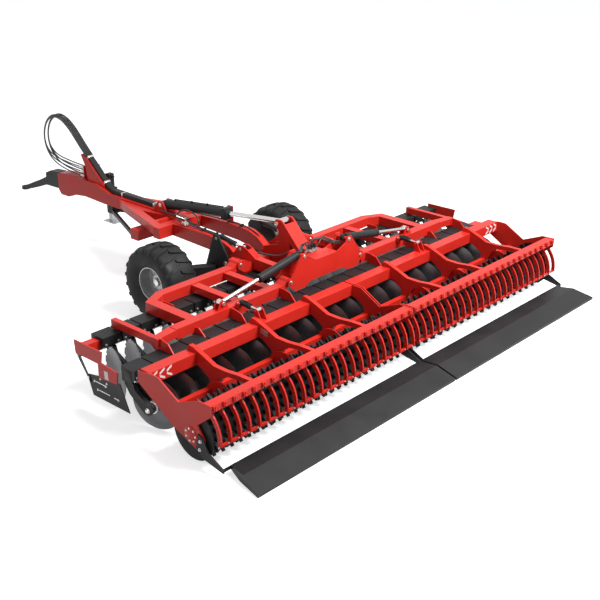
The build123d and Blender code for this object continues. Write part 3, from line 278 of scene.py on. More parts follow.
def show_white(tree, shown, lit):
    """Mixes two shaders: shown is met by the eye, gloss and glass, and lit by all other light."""
    path = tree.nodes.new("ShaderNodeLightPath")
    seen = tree.nodes.new("ShaderNodeMath")
    seen.operation = "MAXIMUM"
    tree.links.new(path.outputs["Is Camera Ray"], seen.inputs[0])
    tree.links.new(path.outputs["Is Glossy Ray"], seen.inputs[1])
    through = tree.nodes.new("ShaderNodeMath")
    through.operation = "MAXIMUM"
    tree.links.new(seen.outputs[0], through.inputs[0])
    tree.links.new(path.outputs["Is Transmission Ray"], through.inputs[1])
    mix = tree.nodes.new("ShaderNodeMixShader")
    tree.links.new(through.outputs[0], mix.inputs[0])
    tree.links.new(lit, mix.inputs[1])
    tree.links.new(shown, mix.inputs[2])
    return mix.outputs[0]


world = bpy.data.worlds.new("studio")
bpy.context.scene.world = world
world.use_nodes = True
world_tree = world.node_tree
world_tree.nodes.clear()
backdrop = world_tree.nodes.new("ShaderNodeBackground")
backdrop.inputs["Color"].default_value = (1, 1, 1, 1)
fill = world_tree.nodes.new("ShaderNodeBackground")
fill.inputs["Color"].default_value = (0.95, 0.97, 1.0, 1)
fill.inputs["Strength"].default_value = 0.42
world_out = world_tree.nodes.new("ShaderNodeOutputWorld")
around = show_white(world_tree, backdrop.outputs[0], fill.outputs[0])
world_tree.links.new(around, world_out.inputs["Surface"])
bpy.context.scene.view_settings.view_transform = "Standard"

LAMP_PLACE = (-7.0, -2.0, 9.0)
LAMP_AIM = Vector((0, 0, 0.5))
FLOOR_SIZE = 60.0
lamp_data = bpy.data.lights.new("soft_lamp", "AREA")
lamp_data.shape = "DISK"
lamp_data.size = 5.0
lamp_data.energy = 1700.0
lamp = bpy.data.objects.new("soft_lamp", lamp_data)
lamp.location = LAMP_PLACE
lamp.rotation_euler = (LAMP_AIM - lamp.location).to_track_quat("-Z", "Y").to_euler()
bpy.context.scene.collection.objects.link(lamp)

floor_build = bmesh.new()
bmesh.ops.create_grid(floor_build, x_segments=1, y_segments=1, size=FLOOR_SIZE)
floor_mesh = bpy.data.meshes.new("floor")
floor_build.to_mesh(floor_mesh)
floor_build.free()
floor = bpy.data.objects.new("floor", floor_mesh)
bpy.context.scene.collection.objects.link(floor)
floor_material = bpy.data.materials.new("pale_floor")
floor_material.use_nodes = True
floor_tree = floor_material.node_tree
floor_shader = floor_tree.nodes["Principled BSDF"]
floor_shader.inputs["Base Color"].default_value = (0.8, 0.8, 0.8, 1)
floor_shader.inputs["Roughness"].default_value = 0.9
floor_glow = floor_tree.nodes.new("ShaderNodeEmission")
floor_glow.inputs["Strength"].default_value = 0.62
floor_sum = floor_tree.nodes.new("ShaderNodeAddShader")
floor_tree.links.new(floor_shader.outputs[0], floor_sum.inputs[0])
floor_tree.links.new(floor_glow.outputs[0], floor_sum.inputs[1])
floor_dim = floor_tree.nodes.new("ShaderNodeBsdfDiffuse")
floor_dim.inputs["Color"].default_value = (0.38, 0.38, 0.38, 1)
floor_tree.links.new(
    show_white(floor_tree, floor_sum.outputs[0], floor_dim.outputs[0]),
    floor_tree.nodes["Material Output"].inputs["Surface"],
)
floor_mesh.materials.append(floor_material)


# ---- painted and plain CAD pieces
# Beams, plates and arms are welded steel with a thick coat of gloss paint, red or black; the discs are
# hardened steel, the piston rods hard chrome, and the jack and the rims are zinc and silver paint.
red_paint = make_finish("red_paint", (0.60, 0.024, 0.015), 0.34, specular=0.24, drift=0.09, patch=2.2,
                        grain=0.06, grain_size=0.006)
black_paint = make_finish("black_paint", (0.019, 0.019, 0.020), 0.46, specular=0.2, drift=0.16, patch=3.0,
                          grain=0.1, grain_size=0.005)
cast_black = make_finish("cast_black", (0.014, 0.014, 0.015), 0.5, specular=0.22, drift=0.2, patch=9.0,
                         grain=0.45, grain_size=0.009)
packer_black = make_finish("packer_black", (0.007, 0.007, 0.008), 0.55, specular=0.2, drift=0.2, patch=9.0,
                           grain=0.4, grain_size=0.009)
disc_steel = make_finish("disc_steel", (0.11, 0.11, 0.115), 0.3, metal=0.75, drift=0.22, patch=4.0,
                         grain=0.12, grain_size=0.012, stretch=(1, 0.3, 1))
hard_chrome = make_finish("hard_chrome", (0.66, 0.66, 0.65), 0.14, metal=1.0, drift=0.03, patch=30.0,
                          grain=0.02, grain_size=0.003, stretch=(0.2, 1, 1))
silver_paint = make_finish("silver_paint", (0.42, 0.42, 0.43), 0.34, metal=0.55, drift=0.1, patch=9.0,
                           grain=0.12)
bare_alloy = make_finish("bare_alloy", (0.5, 0.5, 0.49), 0.36, metal=0.8, drift=0.12, patch=25.0, grain=0.15)

give_finish(red_paint, "centre_frame", "lift_cheeks", "top_link_tower")
give_finish(red_paint, "drawbar_frame", "hose_mast", "coupler_plate")
give_finish(red_paint, *both("wing_frame", "cylinder_lugs", "roller_frame", "scraper_bar", "depth_clevis"))
give_finish(black_paint, "brace_bars", "hitch_tongue", "jack_tube", "axle_frame", "hose_guide")
give_finish(black_paint, "main_barrel", "lift_barrels")
give_finish(black_paint, *both("end_deflector", "levelling_board", "fold_barrel", "depth_barrel"))
give_finish(cast_black, "centre_gang_arms", *both("wing_gang_arms"))
give_finish(packer_black, *both("ring_roller"))
give_finish(disc_steel, "centre_discs", *both("wing_discs"))
give_finish(hard_chrome, "main_rod", "lift_rods", *both("fold_rod", "depth_rod"))
give_finish(silver_paint, "jack_leg", *both("rim"))
give_finish(bare_alloy, "valve_block")


# ---- tyres
# Wide flotation tyres of black rubber with rounded shoulders, smooth sidewalls and two staggered rows
# of bent lugs that meet near the middle of the tread.
tyre_rubber = make_finish("tyre_rubber", (0.012, 0.012, 0.012), 0.6, specular=0.25, drift=0.3, patch=7.0,
                          grain=0.5, grain_size=0.006)
WHEEL = Vector((-0.431, 1.030, 0.470))
LUGS = 20
LUG_WIDTH = 0.036
LUG_LENGTH = 0.225
LUG_DEPTH = 0.034
LUG_BEND = 0.062
LUG_TOP = 0.4695
TREAD_FLAT = 0.10
CROWN_DROP = 0.0045
SHOULDER_WIDTH = 0.115
SHOULDER_DROP = 0.046
side_profile = [
    (0.165, 0.213),
    (0.172, 0.222),
    (0.178, 0.236),
    (0.196, 0.262),
    (0.212, 0.300),
    (0.2185, 0.345),
    (0.214, 0.385),
    (0.203, 0.412),
    (0.182, 0.434),
    (0.150, 0.444),
    (0.080, 0.448),
    (0.0, 0.449),
]
tyre_profile = side_profile + [(-along, radius) for along, radius in reversed(side_profile[:-1])]
tyre_profile.append(side_profile[0])


def tread_limit(across):
    """Radius of the lugs' tops at a distance from the middle of the tread."""
    over = max(0.0, abs(across) - TREAD_FLAT) / SHOULDER_WIDTH
    crown = abs(across) / TREAD_FLAT if over == 0 else 1
    return LUG_TOP - CROWN_DROP * crown - SHOULDER_DROP * over * over


lug_meshes = {}
for flank in (1, -1):
    lug = bmesh.new()
    bmesh.ops.create_cube(lug, size=1.0)
    bmesh.ops.scale(lug, vec=(LUG_WIDTH, LUG_LENGTH, 0.05), verts=lug.verts[:])
    lengthwise = [edge for edge in lug.edges if abs(edge.verts[0].co.y - edge.verts[1].co.y) > 0.1]
    bmesh.ops.subdivide_edges(lug, edges=lengthwise, cuts=5, use_grid_fill=True)
    for vert in lug.verts:
        along = max(0.0, vert.co.y + LUG_LENGTH / 2)
        outer = vert.co.z > 0
        flare = (1 + 0.35 * along / LUG_LENGTH) * (0.72 if outer else 1.05)
        across = flank * (along - 0.014)
        top = tread_limit(across)
        radius = top if outer else top - LUG_DEPTH
        ahead = 0.02 - vert.co.x * flare - LUG_BEND * (along / LUG_LENGTH) ** 0.8
        vert.co = (ahead, across, math.sqrt(radius * radius - ahead * ahead))
    rims = [edge for edge in lug.edges if len(edge.link_faces) == 2 and edge.calc_face_angle() > 0.9]
    bmesh.ops.bevel(lug, geom=rims, offset=0.0035, affect="EDGES", segments=1, profile=0.5, material=-1)
    for vert in lug.verts:
        trim = min(1.0, tread_limit(vert.co.y) / math.hypot(vert.co.x, vert.co.z))
        vert.co = (vert.co.x * trim, vert.co.y, vert.co.z * trim)
    bmesh.ops.recalc_face_normals(lug, faces=lug.faces[:])
    lug_meshes[flank] = bpy.data.meshes.new("lug")
    lug.to_mesh(lug_meshes[flank])
    lug.free()

for side, sign in SIDES:
    tyre_build = bmesh.new()
    turn(tyre_build, tyre_profile, (0, 0, 0), (0, 1, 0), steps=96)
    for index in range(LUGS):
        for flank, offset in ((1, 0), (-1, 180 / LUGS)):
            lug = bmesh.new()
            lug.from_mesh(lug_meshes[flank])
            join(tyre_build, lug, Matrix.Rotation(math.radians(index * 360 / LUGS + offset), 4, "Y"))
    place = Vector((WHEEL.x, sign * WHEEL.y, WHEEL.z))
    bmesh.ops.translate(tyre_build, vec=place, verts=tyre_build.verts[:])
    rubber = add_piece(f"flotation_tyre_{side}", tyre_build, tyre_rubber, f"wheel_{side}",
                       sharp=40)
    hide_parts(f"tyre_{side}")


# ---- wheel nuts and hub caps
# Eight zinc-plated wheel nuts hold each rim on its stub, and a pressed cap closes the bearing.
WHEEL_STUDS = 8
WHEEL_NUT = 0.0165
STUD_CIRCLE = 0.125
STUD_FACE = 0.0245
HUB_FACE = 0.0605
hub_cap = [(0, 0), (0, 0.052), (0.012, 0.052), (0.030, 0.047), (0.036, 0.036), (0.038, 0)]
for side, sign in SIDES:
    wheel_build = bmesh.new()
    for index in range(WHEEL_STUDS):
        angle = math.radians(index * 360 / WHEEL_STUDS)
        across, up = STUD_CIRCLE * math.cos(angle), STUD_CIRCLE * math.sin(angle)
        foot = (WHEEL.x + across, sign * (WHEEL.y + STUD_FACE), WHEEL.z + up)
        add_nut(wheel_build, foot, (0, sign, 0), WHEEL_NUT)
    turn(wheel_build, hub_cap, (WHEEL.x, sign * (WHEEL.y + HUB_FACE), WHEEL.z), (0, sign, 0), steps=32)
    add_piece(f"wheel_nuts_{side}", wheel_build, bright_zinc, f"wheel_{side}")

# ---- disc hubs and clamp bolts
# Every disc turns on a sealed hub with a bright ring, held through the foot of its arm by one bolt.
# The arms' clamps are closed round the gang beams by bolts behind and below them.
GANG_X = {"rear": 0.150, "front": 0.950}
GANG_Z = 0.580
BEAM_END = 2.9875
CAP_WIDTH = 0.0985
DISC_PITCH = 0.250
DISC_SLANT = math.radians(17)
DISC_BEHIND = 0.200
DISC_ASIDE = 0.0625
DISC_Z = 0.282
HUB_OUT = 0.060
STUD_OUT = 0.1005
ARM_FACE = 0.0898
CLAMP_BOLT = 0.011
LOWER_BOLT = 0.012
BOLT_SPREAD = 0.078
LOWER_SLOPE = (-0.587, 0, -0.809)
HUB_RING = [(0.002, 0), (0.002, 0.058), (0.006, 0.066), (0.034, 0.066), (0.038, 0.062), (0.038, 0.052),
            (0.044, 0.05), (0.044, 0)]
HUB_STUD = [(0, 0), (0, 0.026), (0.004, 0.026), (0.006, 0.022), (0.018, 0.020), (0.021, 0.016), (0.021, 0)]
SIDE_STATIONS = 12
CENTRE_STATIONS = 2
# The outermost station is left empty at the right end of the rear row and the left end of the front row.
stations = {"root": [], "wing_left": [], "wing_right": []}
for index in range(SIDE_STATIONS):
    y = (index + 0.5) * DISC_PITCH
    outermost = index == SIDE_STATIONS - 1
    stations["wing_left"].append(("rear", y))
    if not outermost:
        stations["wing_right"].append(("rear", -y))
    if index < CENTRE_STATIONS:
        stations["root"] += [("front", y), ("front", -y)]
    else:
        stations["wing_right"].append(("front", -y))
        if not outermost:
            stations["wing_left"].append(("front", y))
for body, places in stations.items():
    hub_build = bmesh.new()
    bolt_build = bmesh.new()
    for row, y in places:
        mirror = 1 if row == "rear" else -1
        gang_x = DATUM + GANG_X[row]
        axis = Vector((-math.sin(DISC_SLANT), mirror * math.cos(DISC_SLANT), 0))
        vertex = Vector((gang_x - DISC_BEHIND, y - mirror * DISC_ASIDE, DISC_Z)) + axis * HUB_OUT
        turn(hub_build, HUB_RING, vertex, axis, steps=32)
        outer_face = vertex + axis * STUD_OUT
        outer_face.y = y + mirror * ARM_FACE
        turn(hub_build, HUB_STUD, outer_face, (0, mirror, 0), steps=20)
        for along in (-BOLT_SPREAD, BOLT_SPREAD):
            add_nut(bolt_build, (gang_x - 0.100, y + along, GANG_Z - 0.004), (-1, 0, 0), CLAMP_BOLT)
            add_nut(bolt_build, (gang_x - 0.060, y + along, GANG_Z - 0.051), LOWER_SLOPE, CLAMP_BOLT)
            add_nut(bolt_build, (gang_x + 0.072, y + along, GANG_Z - 0.080), (0, 0, -1), LOWER_BOLT)
    add_piece(f"disc_hubs_{body}", hub_build, bright_zinc, body)
    add_piece(f"clamp_bolts_{body}", bolt_build, bright_zinc, body)
for side, sign in SIDES:
    cap_build = bmesh.new()
    for row in GANG_X:
        if (side, row) != ("right", "rear") and (side, row) != ("left", "front"):
            place = Matrix.Translation((DATUM + GANG_X[row], sign * BEAM_END, GANG_Z))
            add_box(cap_build, (CAP_WIDTH, 0.004, CAP_WIDTH), 0.0012, place)
    if cap_build.faces:
        add_piece(f"beam_caps_{side}", cap_build, cast_black, f"wing_{side}")

# ---- pin heads
# Hinge pins and cylinder pins are zinc-plated bars with a turned head and a grease nipple in the middle.
# A place is a distance from DATUM, a distance to the left of the middle, and a height.
MAIN_EYE = (3.064, 0.0, 0.955)
MAIN_ROD_EYE = (0.930, 0.0, 1.200)
LIFT_EYE = (1.620, 0.355, 0.940)
LIFT_ROD_EYE = (1.240, 0.355, 0.890)
FOLD_EYE = (0.330, 0.385, 1.050)
FOLD_ROD_EYE = (0.330, 1.590, 0.845)
DEPTH_EYE = (0.245, 1.380, 0.812)
DEPTH_ROD_EYE = (-0.020, 1.380, 0.800)
WING_HINGE_Y = 0.600
WING_HINGE_Z = 0.800
ROLLER_HINGES_Y = (0.750, 1.500, 2.500)
ROLLER_HINGE_X = 0.012
ROLLER_HINGE_Z = 0.600
COMMON_PIVOT = (1.450, 0.455, 0.660)
HINGE_PIN = 0.022
MAIN_PIN = 0.027
PIVOT_PIN = 0.030
LIFT_PIN = 0.020
DEPTH_PIN = 0.015
ROLLER_PIN = 0.014
pin_head = [(0, 0), (0, 1.0), (0.22, 1.0), (0.30, 0.92), (0.30, 0.25), (0.42, 0.2), (0.46, 0.1), (0.46, 0)]
pin_rows = {body: [] for body in ("root", "drawbar", "axle", "wing_left", "wing_right")}
for side, sign in SIDES:
    wing_rows = pin_rows[f"wing_{side}"]
    for x, facing in ((0.235, -1), (0.425, 1), (1.035, -1), (1.205, 1)):
        foot = (DATUM + x, sign * WING_HINGE_Y, WING_HINGE_Z)
        pin_rows["root"].append((foot, (facing, 0, 0), HINGE_PIN))
    for x, facing in ((0.235, -1), (0.425, 1)):
        foot = (DATUM + x, sign * FOLD_EYE[1], FOLD_EYE[2])
        pin_rows["root"].append((foot, (facing, 0, 0), HINGE_PIN))
    for x, facing in ((0.280, -1), (0.380, 1)):
        foot = (DATUM + x, sign * FOLD_ROD_EYE[1], FOLD_ROD_EYE[2])
        wing_rows.append((foot, (facing, 0, 0), HINGE_PIN))
    for direction in (-1, 1):
        foot = (DATUM + DEPTH_EYE[0], sign * (DEPTH_EYE[1] + direction * 0.046), DEPTH_EYE[2])
        wing_rows.append((foot, (0, sign * direction, 0), DEPTH_PIN))
        for y in ROLLER_HINGES_Y:
            foot = (DATUM + ROLLER_HINGE_X, sign * (y + direction * 0.026), ROLLER_HINGE_Z)
            wing_rows.append((foot, (0, sign * direction, 0), ROLLER_PIN))
    for body, x, y, z, radius in (
        ("root", MAIN_ROD_EYE[0], 0.118, MAIN_ROD_EYE[2], MAIN_PIN),
        ("root", *COMMON_PIVOT, PIVOT_PIN),
        ("root", LIFT_ROD_EYE[0], 0.414, LIFT_ROD_EYE[2], LIFT_PIN),
        ("drawbar", MAIN_EYE[0], 0.088, MAIN_EYE[2], MAIN_PIN),
        ("axle", LIFT_EYE[0], 0.440, LIFT_EYE[2], LIFT_PIN),
    ):
        pin_rows[body].append(((DATUM + x, sign * y, z), (0, sign, 0), radius))
for body, rows in pin_rows.items():
    pin_build = bmesh.new()
    for foot, direction, radius in rows:
        turn(pin_build, [(along * radius, out * radius) for along, out in pin_head], foot, direction)
    add_piece(f"pin_heads_{body}", pin_build, bright_zinc, body)

# ---- cylinders
# Each barrel ends in a screwed gland with a wiper. A steel pipe in two clamps joins the ports of all but the
# lift cylinders. The rows give body, eye, rod eye, barrel radius, barrel length and rod radius.


def mirrored(place):
    """The same place on the right-hand side."""
    return place[0], -place[1], place[2]


barrel_rows = [
    ("main_barrel", MAIN_EYE, MAIN_ROD_EYE, 0.062, 1.230, 0.032),
    ("lift_barrels", LIFT_EYE, LIFT_ROD_EYE, 0.030, 0.250, 0.016),
    ("lift_barrels", mirrored(LIFT_EYE), mirrored(LIFT_ROD_EYE), 0.030, 0.250, 0.016),
    ("fold_barrel_left", FOLD_EYE, FOLD_ROD_EYE, 0.045, 0.640, 0.022),
    ("fold_barrel_right", mirrored(FOLD_EYE), mirrored(FOLD_ROD_EYE), 0.045, 0.640, 0.022),
    ("depth_barrel_left", DEPTH_EYE, DEPTH_ROD_EYE, 0.030, 0.150, 0.012),
    ("depth_barrel_right", mirrored(DEPTH_EYE), mirrored(DEPTH_ROD_EYE), 0.030, 0.150, 0.012),
]
PORT_SHARES = (0.12, 0.93)
CLAMP_SHARES = (0.35, 0.68)
barrel_parts = {}
for body, eye, rod_eye, radius, length, rod_radius in barrel_rows:
    build = barrel_parts.setdefault(body, bmesh.new())
    start = Vector(eye) + Vector((DATUM, 0, 0))
    run = (Vector(rod_eye) - Vector(eye)).normalized()
    bore = rod_radius + 0.0006
    gland_long = 0.55 * radius + 0.010
    gland = [(-gland_long, radius * 0.98), (-gland_long, radius * 1.07), (-0.003, radius * 1.07)]
    wiper = [(0, radius * 1.03), (0.0012, radius * 0.8), (0.0012, bore * 1.25), (0.003, bore * 1.18)]
    wiper.append((0.003, bore))
    turn(build, gland + wiper, start + run * length, run, steps=40)
    collar = [(radius, radius * 0.98), (radius, radius * 1.06), (radius + 0.5 * radius, radius * 1.06)]
    collar += [(radius + 0.55 * radius, radius), (radius + 0.55 * radius, radius * 0.98)]
    turn(build, collar, start, run, steps=40)
    up = Vector((1, 0, 0)) if "fold" in body else Vector((0, 0, 1))
    side_way = run.cross(up).normalized()
    up = side_way.cross(run).normalized()
    if "lift" not in body:
        ports = [start + run * (radius * 1.3 + (length - radius * 1.9) * share) for share in PORT_SHARES]
        wide, low, high = radius * 0.25, radius * 0.9, radius * 1.28
        for port in ports:
            turn(build, [(low, 0), (low, wide), (high, wide), (high, 0)], port, up, steps=6)
        pipe_start, pipe_end = [port + up * radius * 1.2 for port in ports]
        upright = run.to_track_quat("Z", "Y").to_matrix().to_4x4()
        for share in CLAMP_SHARES:
            clamp_at = pipe_start.lerp(pipe_end, share)
            tilt = Matrix.Translation(clamp_at - up * 0.004) @ upright
            add_box(build, (radius * 0.5, radius * 0.5, radius * 0.4), radius * 0.05, tilt)
        pipe_long, thick = (pipe_end - pipe_start).length, radius * 0.13
        turn(build, [(0, 0), (0, thick), (pipe_long, thick), (pipe_long, 0)], pipe_start, run, steps=10)
for body, build in barrel_parts.items():
    add_piece(f"glands_{body}", build, black_paint, body)
BLOCK_ALONG = 1.178
BLOCK_SIZE = (0.142, 0.142, 0.085)
block_build = bmesh.new()
main_run = Vector([end - start for start, end in zip(MAIN_EYE, MAIN_ROD_EYE)]).normalized()
block_at = Vector((DATUM + MAIN_EYE[0], 0, MAIN_EYE[2])) + main_run * BLOCK_ALONG
upright = main_run.to_track_quat("Z", "Y").to_matrix().to_4x4()
add_box(block_build, BLOCK_SIZE, 0.006, Matrix.Translation(block_at) @ upright)
add_piece("main_gland_block", block_build, black_paint, "main_barrel")

# ---- roller bearing covers and end plates
# A round cover with a ring of bolts closes each outer roller bearing, and two bolts fix the board's arm.
ROLLER_X = -0.722
ROLLER_Z = 0.275
PLATE_FACE = 2.9753
ARM_FACE_Y = 2.9872
COVER_BOLTS = 7
COVER_CIRCLE = 0.066
COVER_THICK = 0.005
COVER_BOLT = 0.0085
ARM_BOLT = 0.013
bearing_cover = [(0, 0), (0, 0.088), (0.003, 0.088), (0.005, 0.085), (0.005, 0)]
for side, sign in SIDES:
    cover_build = bmesh.new()
    bearing = Vector((DATUM + ROLLER_X, sign * PLATE_FACE, ROLLER_Z))
    turn(cover_build, bearing_cover, bearing, (0, sign, 0), steps=40)
    add_piece(f"bearing_cover_{side}", cover_build, red_paint, f"roller_arms_{side}")
    bolt_build = bmesh.new()
    for index in range(COVER_BOLTS):
        angle = math.radians(25 + index * 360 / COVER_BOLTS)
        around = Vector((COVER_CIRCLE * math.cos(angle), sign * COVER_THICK, COVER_CIRCLE * math.sin(angle)))
        add_nut(bolt_build, bearing + around, (0, sign, 0), COVER_BOLT)
    for x, z in ((-0.860, 0.262), (-0.850, 0.172)):
        add_nut(bolt_build, (DATUM + x, sign * ARM_FACE_Y, z), (0, sign, 0), ARM_BOLT)
    add_piece(f"bearing_bolts_{side}", bolt_build, bright_zinc, f"roller_arms_{side}")

# ---- deflector plates
# The outer soil deflectors hang in slots, so that their height can be set, on carriage bolts.
DEFLECTOR_FACE = 2.9862
BRACKET_FACE = 2.9952
SHEET = 0.0012
SLOT_WIDTH = 0.009
CARRIAGE_BOLT = 0.0095
deflector_slots = ((0.520, 0.700, 0.330), (0.465, 0.655, 0.247), (0.315, 0.400, 0.245))
deflector_bolts = (
    (0.790, BRACKET_FACE, 0.345),
    (0.600, DEFLECTOR_FACE, 0.385),
    (0.500, DEFLECTOR_FACE, 0.368),
    (0.700, DEFLECTOR_FACE, 0.330),
    (0.520, DEFLECTOR_FACE, 0.330),
    (0.655, DEFLECTOR_FACE, 0.247),
    (0.330, DEFLECTOR_FACE, 0.245),
    (0.940, BRACKET_FACE, 0.540),
)
for side, sign in SIDES:
    slot_build = bmesh.new()
    for x_rear, x_front, z in deflector_slots:
        place = Matrix.Translation((DATUM + (x_rear + x_front) / 2, sign * (DEFLECTOR_FACE + 0.0001), z))
        add_box(slot_build, (x_front - x_rear, SHEET, SLOT_WIDTH), 0.0005, place)
    for x, y, z in deflector_bolts:
        add_nut(slot_build, (DATUM + x, sign * y, z), (0, sign, 0), CARRIAGE_BOLT)
    add_piece(f"deflector_bolts_{side}", slot_build, bright_zinc, f"wing_{side}")

# ---- road-safety markings
# White retro-reflecting chevrons and strips are cut from glass-bead sheet and stuck to the paint.
reflector_white = make_finish("reflector_white", (0.83, 0.83, 0.81), 0.35, drift=0.05, patch=60.0,
                              grain=0.4, grain_size=0.002)
CHEVRONS = 3
CHEVRON_STEP = 0.088
CHEVRON_LONG = 0.062
CHEVRON_WIDE = 0.030
CHEVRON_SLOPE = 0.72
CHEVRON_X = -0.1606
FIRST_TIP_Y = 2.935
CHEVRON_Z = 0.645
for side, sign in SIDES:
    mark_build = bmesh.new()
    for index in range(CHEVRONS):
        tip_y = sign * (FIRST_TIP_Y - index * CHEVRON_STEP)
        for bend in (1, -1):
            half = bmesh.new()
            bmesh.ops.create_cube(half, size=1.0)
            bmesh.ops.scale(half, vec=(SHEET, CHEVRON_LONG, CHEVRON_WIDE), verts=half.verts[:])
            for vert in half.verts:
                back = CHEVRON_LONG / 2 - vert.co.y
                height = (vert.co.z + bend * (back * CHEVRON_SLOPE + 0.0145)) * 0.8
                vert.co = (vert.co.x, -sign * back, height)
            join(mark_build, half, Matrix.Translation((DATUM + CHEVRON_X, tip_y, CHEVRON_Z)))
    bmesh.ops.recalc_face_normals(mark_build, faces=mark_build.faces[:])
    add_piece(f"chevrons_{side}", mark_build, reflector_white, f"roller_arms_{side}")
    strip_build = bmesh.new()
    place = Matrix.Translation((DATUM + 0.482, sign * 2.9986, 0.468))
    tilt = Matrix.Rotation(math.radians(3), 4, "Y")
    add_box(strip_build, (0.060, SHEET, 0.088), 0.0004, place @ tilt)
    add_piece(f"side_reflector_{side}", strip_build, reflector_white, f"wing_{side}")

# ---- name plates
# A blank aluminium plate is riveted to an arm of each roller frame.
PLATE_SIZE = (0.105, SHEET, 0.062)
RIVET_X = 0.046
RIVET_Z = 0.025
rivet = [(0, 0.004), (0.002, 0.003), (0.0026, 0)]
for side, sign in SIDES:
    plate_build = bmesh.new()
    tilt = Matrix.Rotation(math.radians(-9), 4, "Y")
    place = Matrix.Translation((DATUM - 0.235, sign * 1.5156, 0.655)) @ tilt
    add_box(plate_build, PLATE_SIZE, 0.0005, place)
    for x in (-RIVET_X, RIVET_X):
        for z in (-RIVET_Z, RIVET_Z):
            turn(plate_build, rivet, place @ Vector((x, 0, z)), (0, sign, 0), steps=10)
    add_piece(f"blank_plate_{side}", plate_build, bare_alloy, f"roller_arms_{side}")

# ---- scraper fittings
# Each scraper is pinched against the beam by two bolts, has a row of punched holes for its height, and
# its foot is bolted through the bar along the bottom. The holes are not cut: each one is a thin near-black
# disc on both faces of the strip, painted shade standing in for the dark seen through an open hole.
# Near-black finish of the hole discs: painted shade where the strips have holes.
hole_shade_black = make_finish("hole_shade_black", (0.012, 0.011, 0.011), 0.7, drift=0.2, patch=30.0, grain=0.1)
SCRAPERS = 24
SCRAPER_PITCH = 0.125
FIRST_SCRAPER_Y = 0.0475
SCRAPER_BEND = 0.338
BEND_X = -0.720
BEND_Z = 0.300
FOOT_ANGLE = math.radians(187)
HALF_STRIP = 0.00905
NO_BOLT_INSIDE = 0.03
BEAM_FACE_X = -1.0188
BOLT_ROW_Z = 0.637
SCRAPER_BOLT = 0.0085
FOOT_BOLT = 0.0075
HOLES = 7
FIRST_HOLE = 141
HOLE_STEP = 6.6
# Thin disc laid on each face of a strip, near-black as painted shade in place of an open hole.
hole_shade_disc = [(0, 0.0065), (0.0006, 0.0062), (0.0006, 0)]
for side, sign in SIDES:
    bolt_build = bmesh.new()
    hole_build = bmesh.new()
    for index in range(SCRAPERS):
        out = FIRST_SCRAPER_Y + index * SCRAPER_PITCH
        y = sign * out
        for along in (-0.019, 0.019):
            if out + along >= NO_BOLT_INSIDE:
                head = (DATUM + BEAM_FACE_X, y + along, BOLT_ROW_Z)
                add_nut(bolt_build, head, (-1, 0, 0), SCRAPER_BOLT, washer=False)
        for step in range(HOLES):
            angle = math.radians(FIRST_HOLE + step * HOLE_STEP)
            x = DATUM + BEND_X + SCRAPER_BEND * math.cos(angle)
            spot = Vector((x, y, BEND_Z + SCRAPER_BEND * math.sin(angle)))
            for direction in (-1, 1):
                foot = spot + Vector((0, direction * HALF_STRIP, 0))
                turn(hole_build, hole_shade_disc, foot, (0, direction, 0), steps=8)
    add_piece(f"scraper_bolts_{side}", bolt_build, red_paint, f"roller_arms_{side}")
    add_piece(f"scraper_hole_shades_{side}", hole_build, hole_shade_black, f"roller_arms_{side}")
    foot_build = bmesh.new()
    foot_x = BEND_X + SCRAPER_BEND * math.cos(FOOT_ANGLE)
    foot_z = BEND_Z + SCRAPER_BEND * math.sin(FOOT_ANGLE)
    for index in range(SCRAPERS):
        y = sign * (FIRST_SCRAPER_Y + index * SCRAPER_PITCH + 0.024)
        add_nut(foot_build, (DATUM + foot_x - 0.0122, y, foot_z + 0.002), (-1, 0, 0), FOOT_BOLT)
    add_piece(f"scraper_feet_{side}", foot_build, bright_zinc, f"roller_arms_{side}")

# ---- valve block and its hoses
# An aluminium manifold on the deck behind the tower feeds both folding cylinders and the lift cylinders
# through short rubber hoses with plated fittings.
deck_x, deck_top = DATUM + 0.490, 0.9903
fitting_build = bmesh.new()
top_fitting = [(0, 0.012), (0.010, 0.012), (0.010, 0.009), (0.026, 0.009), (0.026, 0)]
rear_fitting = [(0, 0.012), (0.012, 0.012), (0.012, 0.009), (0.030, 0.009), (0.030, 0)]
end_fitting = [(0, 0.016), (0.014, 0.016), (0.014, 0.011), (0.032, 0.011), (0.032, 0)]
for y in (-0.046, -0.016, 0.016, 0.046):
    turn(fitting_build, top_fitting, (deck_x + 0.018, y, deck_top), (0, 0, 1), steps=6)
    turn(fitting_build, rear_fitting, (deck_x - 0.0353, y, 0.962), (-1, 0, 0), steps=6)
for direction in (-1, 1):
    turn(fitting_build, end_fitting, (deck_x, direction * 0.0622, 0.957), (0, direction, 0), steps=20)
add_piece("valve_fittings", fitting_build, bright_zinc, "root")
coil_build = bmesh.new()
for y in (-0.040, 0.0, 0.040):
    place = Matrix.Translation((deck_x - 0.012, y, deck_top + 0.024))
    add_box(coil_build, (0.036, 0.030, 0.046), 0.004, place)
add_piece("valve_coils", coil_build, cast_black, "root")
VALVE_HOSE_RADIUS = 0.0075
VALVE_HOSES = 3
DECK_HOSES = 2
